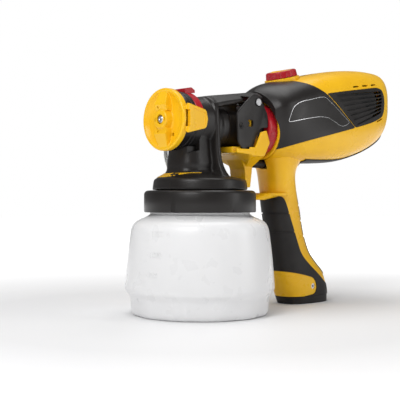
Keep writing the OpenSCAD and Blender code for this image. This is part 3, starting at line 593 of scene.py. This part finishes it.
# Soft grip and its grooves.
sleeve = keep(handle_form(-0.6, 96, 10), prism_y(shrink(SLEEVE, GRIP_GAP), -60, 60))
cut(sleeve, handle_form(WALL))
for z in (94, 75):
    cut(sleeve, cut(block(60, 160, -40, 40, z - 0.7, z + 0.7), handle_form(0.35)))
cut(sleeve, lathe("h", [(160, CORD_HOLE_R), (200, CORD_HOLE_R)], 32, "X", (0, 0, CORD_Z)))
finish_surface(sleeve, 30, 0.3)
piece(sleeve, "grip_sleeve_skin", "gun", "soft_grip", "grip_sleeve")

spine = keep(gun_form(-1), join(prism_y(shrink(SPINE, GRIP_GAP), -10.85, 10.85),
                                prism_y(shrink(BELLY, GRIP_GAP), -23.85, 23.85)))
cut(spine, copy(inner))
for z in (117, 101, 85, 69):
    cut(spine, cut(block(100, 160, -20, 20, z, z + 2), handle_form(0.35)))
finish_surface(spine, 30, 0.3)
piece(spine, "back_spine_skin", "gun", "soft_grip", "back_spine")
drop(outer, inner)

# Thin outline of the raised panel on each cover.
PANEL = rounded([(85, 183.7, 4), (90.5, 199.5, 5), (99.3, 205, 5), (134, 213, 6), (140.5, 209.6, 3),
                 (174.5, 188.6, 2), (170, 185.4, 3), (161, 183.2, 5), (140, 191.2, 6), (127, 191.6, 5),
                 (106, 188, 6)])
outline = keep(body_form(-0.42), cut(prism_y(PANEL, -60, -20), prism_y(shrink(PANEL, 0.42), -61, -19)))
cut(outline, body_form(0.2))
finish_surface(outline, 40)
outline_right = mirrored(outline, "panel_outline_right")
piece(outline, "panel_outline_left", "gun", "steel")
piece(outline_right, "panel_outline_right", "gun", "steel")

# Dark insert in the recess behind the knob.
insert = keep(body_form(0.7, 96, 6), block(138.6, 165.4, -8.4, 8.4, 225, 262))
cut(insert, body_form(1.7, 96, 6), block(144, 160, -5.5, 5.5, 225, 262))
finish_surface(insert, 30, 0.2)
piece(insert, "deck_insert", "gun", "charcoal_plastic")

foot = keep(handle_form(0, 96, 10), block(90, 200, -30, 30, 0.0, 7.85))
finish_surface(foot, 30, 0.6, 3)
piece(foot, "foot_cap_skin", "gun", "soft_grip", "foot_cap")

shelf = moulded([from_cad("finger_rest")], 0.45, 4)
finish_surface(shelf, 60)
piece(shelf, "finger_rest_skin", "gun", "yellow_plastic", "finger_rest")

# ---------------------------------------------------------------- knob and coupling

knob = moulded([from_cad("power_knob")], 0.35, 3)
finish_surface(knob, 60)
piece(knob, "power_knob_skin", "knob", "red_plastic", "power_knob")
cap = from_cad("knob_cap")
cap.data.transform(KNOB_PLACE.inverted())
cap = moulded([cap], 0.3, 3)
knob_place(cap)
finish_surface(cap, 60)
piece(cap, "knob_cap_skin", "knob", "yellow_plastic", "knob_cap")

lock = lathe("lock", [(67.6, 19.6), (67.6, 25.6), (67.9, 26.3), (68.6, 26.7), (72, 26.9), (79, 27.1),
                      (79.6, 26.9), (80, 26.2), (80, 19.6)], 128, "X", (0, 0, DUCT_Z))
cut(lock, lathe("bore", [(60, 19.5), (90, 19.5)], 96, "X", (0, 0, DUCT_Z)))
for i in range(6):
    notch = block(76.2, 81, -1.5, 1.5, 26.2, 30)
    notch.data.transform(Matrix.Translation((0, 0, DUCT_Z * MM))
                         @ Matrix.Rotation(math.radians(60 * i + 30), 4, "X"))
    cut(lock, notch)
finish_surface(lock, 30, 0.25)
piece(lock, "lock_ring_skin", "lock", "red_plastic", "lock_ring")


def padlock(x, z, size, shut):
    """A padlock sign in outline, in X and Z."""
    w, h, t = size * 0.42, size * 0.36, size * 0.1
    body = [[(x - w, z - h), (x + w, z - h), (x + w, z + h), (x - w, z + h)],
            [(x - w + t, z - h + t), (x + w - t, z - h + t), (x + w - t, z + h - t), (x - w + t, z + h - t)]]
    lift = 0 if shut else size * 0.16
    bow = []
    for r, start, end in ((w - t, math.pi, 0), (w - 2 * t, 0, math.pi)):
        bow += [(x + r * math.cos(a), z + h + lift + r * math.sin(a)) for a in np.linspace(start, end, 9)]
    return body, bow


for i, (z, shut) in enumerate(((192, True), (172, False))):
    (outer_square, inner_square), bow = padlock(73.6, z, 7, shut)
    sign = cut(prism_y(outer_square, -40, -10), prism_y(inner_square, -41, -9))
    join(sign, prism_y(bow, -40, -10))
    keep(sign, lathe("r", [(68.7, 27.12), (79, 27.3)], 128, "X", (0, 0, DUCT_Z)))
    cut(sign, lathe("r", [(60, 26.5), (90, 26.8)], 128, "X", (0, 0, DUCT_Z)))
    finish_surface(sign, 40)
    piece(sign, f"lock_sign_{i + 1}", "lock", "red_plastic")

ring = lathe("ring", [(80.6, 24.1), (80.6, 28.3), (80.9, 28.9), (81.6, 29.2), (96, 29.4), (96, 24.1)], 128,
             "X", (0, 0, DUCT_Z))
cut(ring, lathe("bore", [(70, 24), (100, 24)], 96, "X", (0, 0, DUCT_Z)))
finish_surface(ring, 30, 0.2)
piece(ring, "coupling_collar_skin", "gun", "yellow_plastic", "coupling_collar")

# ---------------------------------------------------------------- spray head

# Rows up the neck: z, middle in X, half depth, half width, squareness; up the flange: z, half width, rear face.
NECK_ROWS = [(117, 0, 45, 45, 2), (124.5, 0, 44, 44, 2), (127, -1, 42, 42, 2), (133, -11, 23.5, 21.5, 2.6),
             (142, -11.5, 21, 20, 2.7), (153, -12, 19.5, 18.5, 2.7), (166, -13, 18.5, 18, 2.6),
             (182, -14, 17, 17.5, 2.3)]
FLANGE_ROWS = [(117, 44.5, 14), (121, 42.6, 13), (126, 38.2, 9), (134, 32.2, 5.5), (144, 28, 4), (158, 26, 3.5),
               (178, 25, 3.5), (192, 23.5, 3.5), (200, 19, 3.5), (205, 11, 3.5)]
CAP_X, CAP_R = -49, 28.7


def neck_form(lift=0.0):
    return loft("neck", [[(x + u, v, z + lift) for u, v in super_ring(a, b, p, 96)]
                         for z, x, a, b, p in catmull(NECK_ROWS, 8)])


def flange_form():
    return loft("flange", [[((rear - 3) / 2 + u, v, z) for u, v in super_ring((rear + 3) / 2, half, 6, 64)]
                           for z, half, rear in catmull(FLANGE_ROWS, 6)])


def rod_x(x0, x1, r, z, y=0.0, segments=64):
    return lathe("rod", [(x0, r), (x1, r)], segments, "X", (0, y, z))


def ring_x(x0, x1, r_out, r_in, z):
    return cut(rod_x(x0, x1, r_out, z, 0, 96), rod_x(x0 - 1, x1 + 1, r_in, z, 0, 96))


hood = hull(box_corners(0, 3, -21.5, 21.5, 194.5, 197.5) + box_corners(0, 3, -11, 11, 202, 205.4)
            + box_corners(58, 67, -19.5, 19.5, 206.8, 208.6) + box_corners(58, 67, -12, 12, 211, 213.2))
cut(hood, rod_x(3.4, 90, 22.2, DUCT_Z), block(38, 66, -30, 30, 180, 206.8))
web = prism_y([(2, 185), (2, 203), (38, 207.4), (38, 185)], -12, 12)
head_parts = [neck_form(), flange_form(), hood, web,
              lathe("nose", [(-28, 21), (2, 24.5)], 96, "X", (0, 0, SPRAY_Z)),
              rod_x(0, 97.6, 19, DUCT_Z, 0, 96),
              lathe("step", [(12, 19), (12.4, 20.2), (21, 20.2), (21.4, 19)], 96, "X", (0, 0, DUCT_Z)),
              lathe("boss", [(110, 17.6), (120, 17.6)], 64)]
head = moulded(head_parts, 0.85, 5)
cut(head, rod_x(4, 66, 16, DUCT_Z), rod_x(71, 110, 16, DUCT_Z),
    rod_x(-14, 10, 5.6, SPRAY_Z), rod_x(-36, -14.1, 8, SPRAY_Z), ring_x(-44, -17.4, 27.4, 21.9, SPRAY_Z),
    ring_x(92, 94, 21, 17.4, DUCT_Z), block(38, 49, -30, 30, 178, 184))
cut(head, lathe("bore", [(105, 3.1), (178, 3.1)], 32, "Z", (-12, 0, 0)),
    lathe("seat", [(124, 7.5), (145, 7.5)], 48, "Z", (-12, 30, 0)))
for side in (-1, 1):
    corner = ring_x(-44, -17.4, 33.5, 27, SPRAY_Z)
    cut(head, keep(corner, block(-50, -10, min(side * 13, side * 40), max(side * 13, side * 40), 140, 200)))


def lid_plate_region(grow):
    arc = []
    for a in np.radians(np.linspace(-58, 50, 45)):
        r = 40.6 + grow - 11.5 * max(0, (a + 0.35) / 1.22) ** 2
        arc.append((-r * math.cos(a), -r * math.sin(a)))
    foot_ring = super_ring(24.6 - grow, 22.6 - grow, 2.6, 64)
    sector = loft("sector", [[(x, y, z) for x, y in [(0, 0)] + arc] for z in (118, 142)])
    return cut(sector, loft("foot", [[(-11 + x, y, z) for x, y in foot_ring] for z in (110, 150)]))


cut(head, cut(lid_plate_region(0.1), neck_form(-1.25)))
finish_surface(head, 45)
piece(head, "spray_head_skin", "head", "charcoal_plastic", "spray_head")

lid_plate = cut(keep(neck_form(0.45), lid_plate_region(0)), neck_form(-1.2))
finish_surface(lid_plate, 35, 0.25)
piece(lid_plate, "lid_plate_skin", "head", "yellow_plastic", "lid_plate")
arrow = [(-5, 36.4), (-5, 38.4), (0.5, 38.4), (0.5, 39.8), (5, 37.4), (0.5, 35), (0.5, 36.4)]
pointer = loft("arrow", [[(-r, t, z) for t, r in arrow] for z in (118, 142)])
pointer.data.transform(Matrix.Rotation(math.radians(8), 4, "Z"))
keep(pointer, neck_form(0.62))
cut(pointer, neck_form(0.1))
finish_surface(pointer, 35)
piece(pointer, "lid_arrow", "head", "charcoal_plastic")

lid = lathe("lid", [(96, 48.7), (96, 52.2), (96.3, 52.6), (97, 52.9), (113.2, 52.9), (114.6, 52.3),
                    (115.9, 51), (116.4, 49.6), (116.6, 45.6), (116.6, 18.1), (114, 18.1), (114, 48.7)], 160)
cut(lid, lathe("mouth", [(110, 18), (120, 18)], 64))
for i in range(6):
    a = math.radians(60 * i + 20)
    tab = block(52.3, 53.4, -2.2, 2.2, 94, 98.4)
    tab.data.transform(Matrix.Rotation(a, 4, "Z"))
    cut(lid, tab)
finish_surface(lid, 30, 0.15)
piece(lid, "lid_collar_skin", "collar", "charcoal_plastic", "lid_collar")

# ---------------------------------------------------------------- trigger and its covers

trigger = moulded([from_cad("trigger")], 0.6, 5)
finish_surface(trigger, 60)
piece(trigger, "trigger_skin", "trigger", "yellow_plastic", "trigger")

PLATE = rounded([(25, 162, 3), (23.5, 190, 3), (31, 197, 3), (45, 209.2, 3), (55, 208.6, 3), (60.5, 200, 3),
                 (66.5, 190, 3), (66.5, 178, 2), (56, 177, 3), (50, 168, 3), (45, 157, 3), (40, 154.5, 2),
                 (32, 154.5, 3)])
plate = prism_y(PLATE, -26.3, -23.9)
finish_surface(plate, 50, 0.9, 3)
evaluated(plate)
for place, r in ((TRIGGER_PIN, 4.2), (HEAD_SCREW, 2.9)):
    cut(plate, pin_y(*place, r, -30, -25.2, 32))
slot_d = rounded([(38.6, 177.6, 1), (45.4, 177.6, 2.6), (45.4, 184.4, 2.6), (38.6, 184.4, 1)], 5)
cut(plate, prism_y(slot_d, -30, -20), block(61.4, 62.2, -30, -25.9, 186.6, 195))
cut(plate, pin_y(*TRIGGER_PIN, 2.05, -30, -20))
finish_surface(plate, 35)
plate_right = mirrored(plate, "head_cover_right_skin")
piece(plate, "head_cover_left_skin", "head", "charcoal_plastic", "head_cover_left")
piece(plate_right, "head_cover_right_skin", "head", "charcoal_plastic", "head_cover_right")

screws = from_cad("head_screws")
finish_surface(screws, 35)
piece(screws, "head_screws_skin", "head", "black_plastic", "head_screws")
needle = from_cad("needle")
crosshead = keep(copy(needle), block(30, 60, -40, 40, 170, 190))
cut(crosshead, *(block(30, 60, y0, y1, 170, 190) for y0, y1 in ((-22, 22), (23.6, 40), (-40, -23.6))))
cut(needle, block(30, 60, 22, 40, 170, 190), block(30, 60, -40, -22, 170, 190))
for ob, name, slot in ((needle, "needle_skin", "steel"),
                       (crosshead, "needle_crosshead_ends", "black_plastic")):
    finish_surface(ob, 35)
    piece(ob, name, "needle", slot, "needle")

# ---------------------------------------------------------------- nozzle end

RIM_X = CAP_X + 2.5
HUB_X = CAP_X - 1.0
face = lathe("face", [(HUB_X, 0.01), (HUB_X, 7.9), (HUB_X + 0.8, 8.8), (RIM_X + 3.4, 10.2), (RIM_X + 4, 12),
                      (RIM_X + 3.9, 18), (RIM_X + 3, 22.4), (RIM_X + 1.3, 25), (RIM_X + 0.2, 26),
                      (RIM_X, 26.6), (RIM_X, 27.6), (RIM_X + 0.5, 28.4), (RIM_X + 1.4, CAP_R),
                      (CAP_X + 8.4, CAP_R), (CAP_X + 8.4, 25.4), (CAP_X + 9.9, 25.4), (CAP_X + 9.9, 0.01)], 128,
             "X", (0, 0, SPRAY_Z))
cap_parts = [face]
for side in (-1, 1):
    wedge = [(x, sign * y, z) for x, y, z in
             [(RIM_X + 0.4, 5.6, 25.6), (CAP_X + 9, 6.6, 25.6), (HUB_X - 0.4, 7.8, 13.2), (HUB_X + 1.8, 7.4, 8),
              (CAP_X + 9, 9.2, 8)] for sign in (-1, 1)]
    cap_parts.append(hull([(x, y, SPRAY_Z + side * z) for x, y, z in wedge]))
    lug = rounded([(CAP_X + 7, 13.4, 1), (CAP_X + 14, 11.6, 4), (CAP_X + 29, 8.2, 2.5), (CAP_X + 31, 0),
                   (CAP_X + 29, -8.2, 2.5), (CAP_X + 14, -11.6, 4), (CAP_X + 7, -13.4, 1)])
    cap_parts.append(prism_y([(x, SPRAY_Z + z) for x, z in lug], *sorted((side * 27.1, side * 30.4))))
air_cap = moulded(cap_parts, 0.45, 2)
for side in (-1, 1):
    slot_y = sorted((side * 25.6, side * 34))
    cut(air_cap, block(CAP_X + 5.2, CAP_X + 8.8, *slot_y, SPRAY_Z - 7.5, SPRAY_Z + 7.5))
    panel = rounded([(CAP_X + 13.4, -9, 1), (CAP_X + 13.4, 9, 1), (CAP_X + 28, 5.6, 1),
                     (CAP_X + 28, -5.6, 1)], 4)
    cut(air_cap, prism_y([(x, SPRAY_Z + z) for x, z in panel], *sorted((side * 30.0, side * 34))))
    jet = lathe("jet", [(-6, 1.15), (6, 1.15)], 20)
    jet.data.transform(Matrix.Translation(((HUB_X + 0.8) * MM, 3.4 * MM, (SPRAY_Z + side * 11) * MM))
                       @ Matrix.Rotation(math.radians(side * 40), 4, "Y"))
    cut(air_cap, jet, block(HUB_X - 1, HUB_X + 3, side * 6.4 - 0.5, side * 6.4 + 0.5, SPRAY_Z - 2, SPRAY_Z + 2))
cut(air_cap, rod_x(HUB_X - 1, CAP_X + 12, 4.4, SPRAY_Z), rod_x(HUB_X, CAP_X + 12, 1.5, SPRAY_Z - 14, -9.8, 24))
finish_surface(air_cap, 50)
piece(air_cap, "air_cap_skin", "air_cap", "yellow_plastic", "air_cap")
tip = lathe("tip", [(HUB_X + 0.6, 1.0), (HUB_X + 0.3, 1.4), (HUB_X + 0.3, 2.6), (HUB_X + 0.8, 3.3),
                    (CAP_X + 9, 3.9), (CAP_X + 9, 2.5), (HUB_X + 4.6, 2.5), (HUB_X + 2.4, 1.0)], 64, "X",
            (0, 0, SPRAY_Z))
finish_surface(tip, 35)
piece(tip, "nozzle_tip", "head", "steel")

nut = lathe("nut", [(CAP_X + 10.3, 22.3), (CAP_X + 10.3, 25.6), (CAP_X + 10.8, 26.3), (CAP_X + 11.6, 26.6),
                    (CAP_X + 15.6, 26.6), (CAP_X + 16.2, 26), (CAP_X + 17.8, 26), (CAP_X + 18.4, 26.6),
                    (CAP_X + 21.4, 26.6), (CAP_X + 21.9, 26.2), (CAP_X + 21.9, 22.3)], 128, "X",
            (0, 0, SPRAY_Z))
cut(nut, rod_x(CAP_X, CAP_X + 30, 22.2, SPRAY_Z, 0, 96))
finish_surface(nut, 30, 0.15)
piece(nut, "union_nut_skin", "union_nut", "black_plastic", "union_nut")


def ring_sector(profile, from_deg, to_deg, steps):
    """Part of a turned ring about the spray axis; angles run from +Y up to +Z."""
    rings = [[(x, r * math.cos(a), SPRAY_Z + r * math.sin(a)) for x, r in profile]
             for a in np.radians(np.linspace(from_deg, to_deg, steps))]
    return loft("sector", rings)


WIDTH_RING = [(CAP_X + 22.4, 23.1), (CAP_X + 22.4, 25.8), (CAP_X + 23, 26.5), (CAP_X + 30.2, 26.5),
              (CAP_X + 31, 25.9), (CAP_X + 31, 23.1)]
red = ring_sector(WIDTH_RING, 22, 158, 80)
lever = rounded([(CAP_X + 22.4, 25, 0.3), (CAP_X + 22.4, 29.4, 1), (CAP_X + 30.6, 31, 1),
                 (CAP_X + 35, 28.6, 1), (CAP_X + 35, 26, 0.5)], 4)
lever = prism_y([(x, SPRAY_Z + z) for x, z in lever], -8, 8)
cut(lever, rod_x(CAP_X + 20, CAP_X + 40, 25.7, SPRAY_Z, 0, 96))
join(red, lever)
finish_surface(red, 30, 0.25)
piece(red, "spray_width_ring_skin", "width_ring", "red_plastic", "spray_width_ring")
dark = ring_sector(WIDTH_RING, 158.3, 381.7, 120)
finish_surface(dark, 30, 0.2)
piece(dark, "spray_width_ring_lower", "width_ring", "black_plastic")

hose_route = catmull([(-10, 23.2, 176), (-10, 26, 176), (-10.5, 29, 174), (-11.5, 32, 169), (-13, 33.5, 162),
                      (-14, 33.5, 154), (-14, 32.5, 147), (-13, 31, 141), (-12, 30, 137), (-12, 30, 134.75)], 5)
hose = tube("hose", hose_route, 1.9)
finish_surface(hose, 50)
piece(hose, "vent_hose_skin", "head", "clear_hose", "vent_hose")

# ---------------------------------------------------------------- container

CUP = [(0, 0.01), (0, 60), (0.6, 62.4), (2.2, 64), (6, 65.2), (15, 65.8), (19, 67.2), (22.4, 69.6), (25, 70.4),
       (28, 70.4), (43, 69.3), (60, 67.7), (72, 66.2), (79, 65.1), (83.6, 63.6), (87.2, 60.6), (89.8, 56),
       (91.8, 51), (93.6, 48.2), (96, 47), (112, 47), (112, 44.5), (93, 44.5), (89, 49), (86.4, 56),
       (83, 60), (79, 62), (60, 65.4), (26, 68.4), (15, 63.6), (6, 63.2), (4, 61), (4, 0.01)]
FACETS = 12


def cup_radius(r, z, a):
    """Flat grip facets moulded round the foot, fading out below the belt."""
    if r < 50 or z > 19:
        return r
    step = 2 * math.pi / FACETS
    off = (a % step) - step / 2
    flat = (r + 1.2) * math.cos(step / 2) / math.cos(off)
    fade = max(0.0, min(1.0, (19 - z) / 8))
    return r + (min(flat, r) - r) * fade


smooth_cup = [CUP[0], *[tuple(q) for q in catmull(CUP[1:22], 4)], *CUP[22:]]
SEGMENTS = 192
rings = []
for z, r in smooth_cup:
    angles = 2 * math.pi * np.arange(SEGMENTS) / SEGMENTS
    rings.append([(cup_radius(r, z, a) * math.cos(a), cup_radius(r, z, a) * math.sin(a), z) for a in angles])
cup = loft("cup", rings)
finish_surface(cup, 28)
piece(cup, "container_skin", "container", "milky_plastic", "container")


def cup_wall(z):
    return float(np.interp(z, [q[0] for q in CUP[6:14]], [q[1] for q in CUP[6:14]]))


def on_cup(points, z0, width):
    """A raised stroke on the cup's wall: points are (mm to the right of the front line, mm above z0)."""
    parts = []
    for (u0, v0), (u1, v1) in zip(points, points[1:]):
        d = Vector((u1 - u0, v1 - v0))
        side = Vector((-d.y, d.x)).normalized() * width / 2
        end = d.normalized() * width / 2
        corners = [Vector((u0, v0)) - end - side, Vector((u1, v1)) + end - side,
                   Vector((u1, v1)) + end + side, Vector((u0, v0)) - end + side]
        solid = []
        for proud in (-0.5, 0.28):
            for c in corners:
                r = cup_wall(z0 + c.y) + proud
                a = math.pi + c.x / 69.0
                solid.append((r * math.cos(a), r * math.sin(a), z0 + c.y))
        parts.append(hull(solid))
    return parts


# Strokes of the scale's figures, on a grid 2 mm wide and 4 mm high.
GLYPHS = {"0": [[(0, 0), (2, 0), (2, 4), (0, 4), (0, 0)]], "1": [[(0.4, 3.2), (1.2, 4), (1.2, 0)]],
          "3": [[(0, 4), (2, 4), (2, 0), (0, 0)], [(0.6, 2), (2, 2)]], "7": [[(0, 4), (2, 4), (0.8, 0)]],
          "m": [[(0, 0), (0, 2.4), (1.1, 2.4), (1.1, 0)], [(1.1, 2.4), (2.2, 2.4), (2.2, 0)]],
          "l": [[(0, 0), (0, 4)]]}
marks = []
for z, text in ((77, "1300 ml"), (58.5, "1000"), (40.5, "700")):
    marks += on_cup([(-4.5, 0), (4.5, 0)], z, 0.5)
    u = 7.0
    for letter in text:
        for stroke in GLYPHS.get(letter, []):
            marks += on_cup([(u + p, q - 2) for p, q in stroke], z, 0.45)
        u += 3.4
for z in (71, 65, 52.5, 47, 34.5, 29.5):
    marks += on_cup([(0, 0), (3.6, 0)], z, 0.45)
bm = bmesh.new()
for mark in marks:
    bm.from_mesh(mark.data)
scale_mesh = bpy.data.meshes.new("scale")
bm.to_mesh(scale_mesh)
bm.free()
drop(*marks)
scale = bpy.data.objects.new("scale", scale_mesh)
scene.collection.objects.link(scale)
scale.data.shade_flat()
piece(scale, "container_scale", "container", "milky_plastic")

# Small rounding on the exact parts that stay.
for name in ("vent_valve", "cord_bush", "switch_plunger", "knob_bezel"):
    soft = from_cad(name)
    finish_surface(soft, 30, 0.3)
    evaluated(soft)
    finish_surface(soft, 35)
    body = next(b for b, nodes in frame["record"]["behaviour"]["bodies"].items() if name in nodes)
    piece(soft, name + "_skin", body, SLOT_OF[name], name)

# ---------------------------------------------------------------- floor, light, camera

CAMERA_AZIMUTH, CAMERA_DISTANCE, CAMERA_HEIGHT = math.radians(43), 0.850, 0.1075
LENS = 80.8


def area_light(name, place, target, size, power, colour=(1, 1, 1)):
    data = bpy.data.lights.new(name, "AREA")
    data.shape, data.size, data.size_y = "RECTANGLE", size[0], size[1]
    data.energy, data.color = power, colour
    ob = bpy.data.objects.new(name, data)
    scene.collection.objects.link(ob)
    ob.location = place
    ob.rotation_euler = (Vector(target) - Vector(place)).to_track_quat("-Z", "Y").to_euler()
    return ob


FLOOR = 4000
floor = make("floor", [(-FLOOR, -FLOOR, 0), (FLOOR, -FLOOR, 0), (FLOOR, FLOOR, 0), (-FLOOR, FLOOR, 0)],
             [(0, 1, 2, 3)])
floor_material, f_nodes, f_links, f_shader = principled("floor")
f_coord = f_nodes.new("ShaderNodeTexCoord").outputs["Object"]
f_links.new(mix_colour(f_nodes, f_links, ramp_to(f_nodes, f_links, noise(f_nodes, f_links, f_coord, 3), 0, 1),
                       (0.86, 0.86, 0.87), (0.88, 0.88, 0.885)), f_shader.inputs["Base Color"])
f_shader.inputs["Roughness"].default_value = 0.6
spread = f_nodes.new("ShaderNodeVectorMath")
spread.operation = "LENGTH"
f_links.new(f_coord, spread.inputs[0])
f_shader.inputs["Emission Color"].default_value = (1, 1, 1, 1)
f_links.new(ramp_to(f_nodes, f_links, spread.outputs["Value"], 0.0, 1.0, 0.22, 1.1),
            f_shader.inputs["Emission Strength"])
floor.data.materials.append(floor_material)

world = bpy.data.worlds.new("studio")
scene.world = world
world.use_nodes = True
w_nodes, w_links = world.node_tree.nodes, world.node_tree.links
w_nodes["Background"].inputs["Color"].default_value = (1, 1, 1, 1)
camera_ray = w_nodes.new("ShaderNodeLightPath").outputs["Is Camera Ray"]
w_links.new(ramp_to(w_nodes, w_links, camera_ray, 0.2, 1.0, 0, 1), w_nodes["Background"].inputs["Strength"])

area_light("key", (-1.1, -0.5, 1.0), (0.05, 0, 0.1), (0.7, 0.7), 12)
area_light("top", (0.2, 0.2, 1.8), (0.12, 0, 0.0), (1.6, 1.2), 20)
area_light("side", (1.0, -1.5, 0.6), (0.15, 0, 0.12), (0.5, 1.0), 5)

camera = bpy.data.objects.new("camera", bpy.data.cameras.new("camera"))
scene.collection.objects.link(camera)
scene.camera = camera
camera.data.lens, camera.data.sensor_width = LENS, 36
look = Vector((math.sin(CAMERA_AZIMUTH), math.cos(CAMERA_AZIMUTH), 0))
camera.location = -look * CAMERA_DISTANCE + Vector((0, 0, CAMERA_HEIGHT))
camera.rotation_euler = look.to_track_quat("-Z", "Y").to_euler()
camera.data.clip_start, camera.data.clip_end = 0.05, 20
scene.view_settings.view_transform = "Standard"
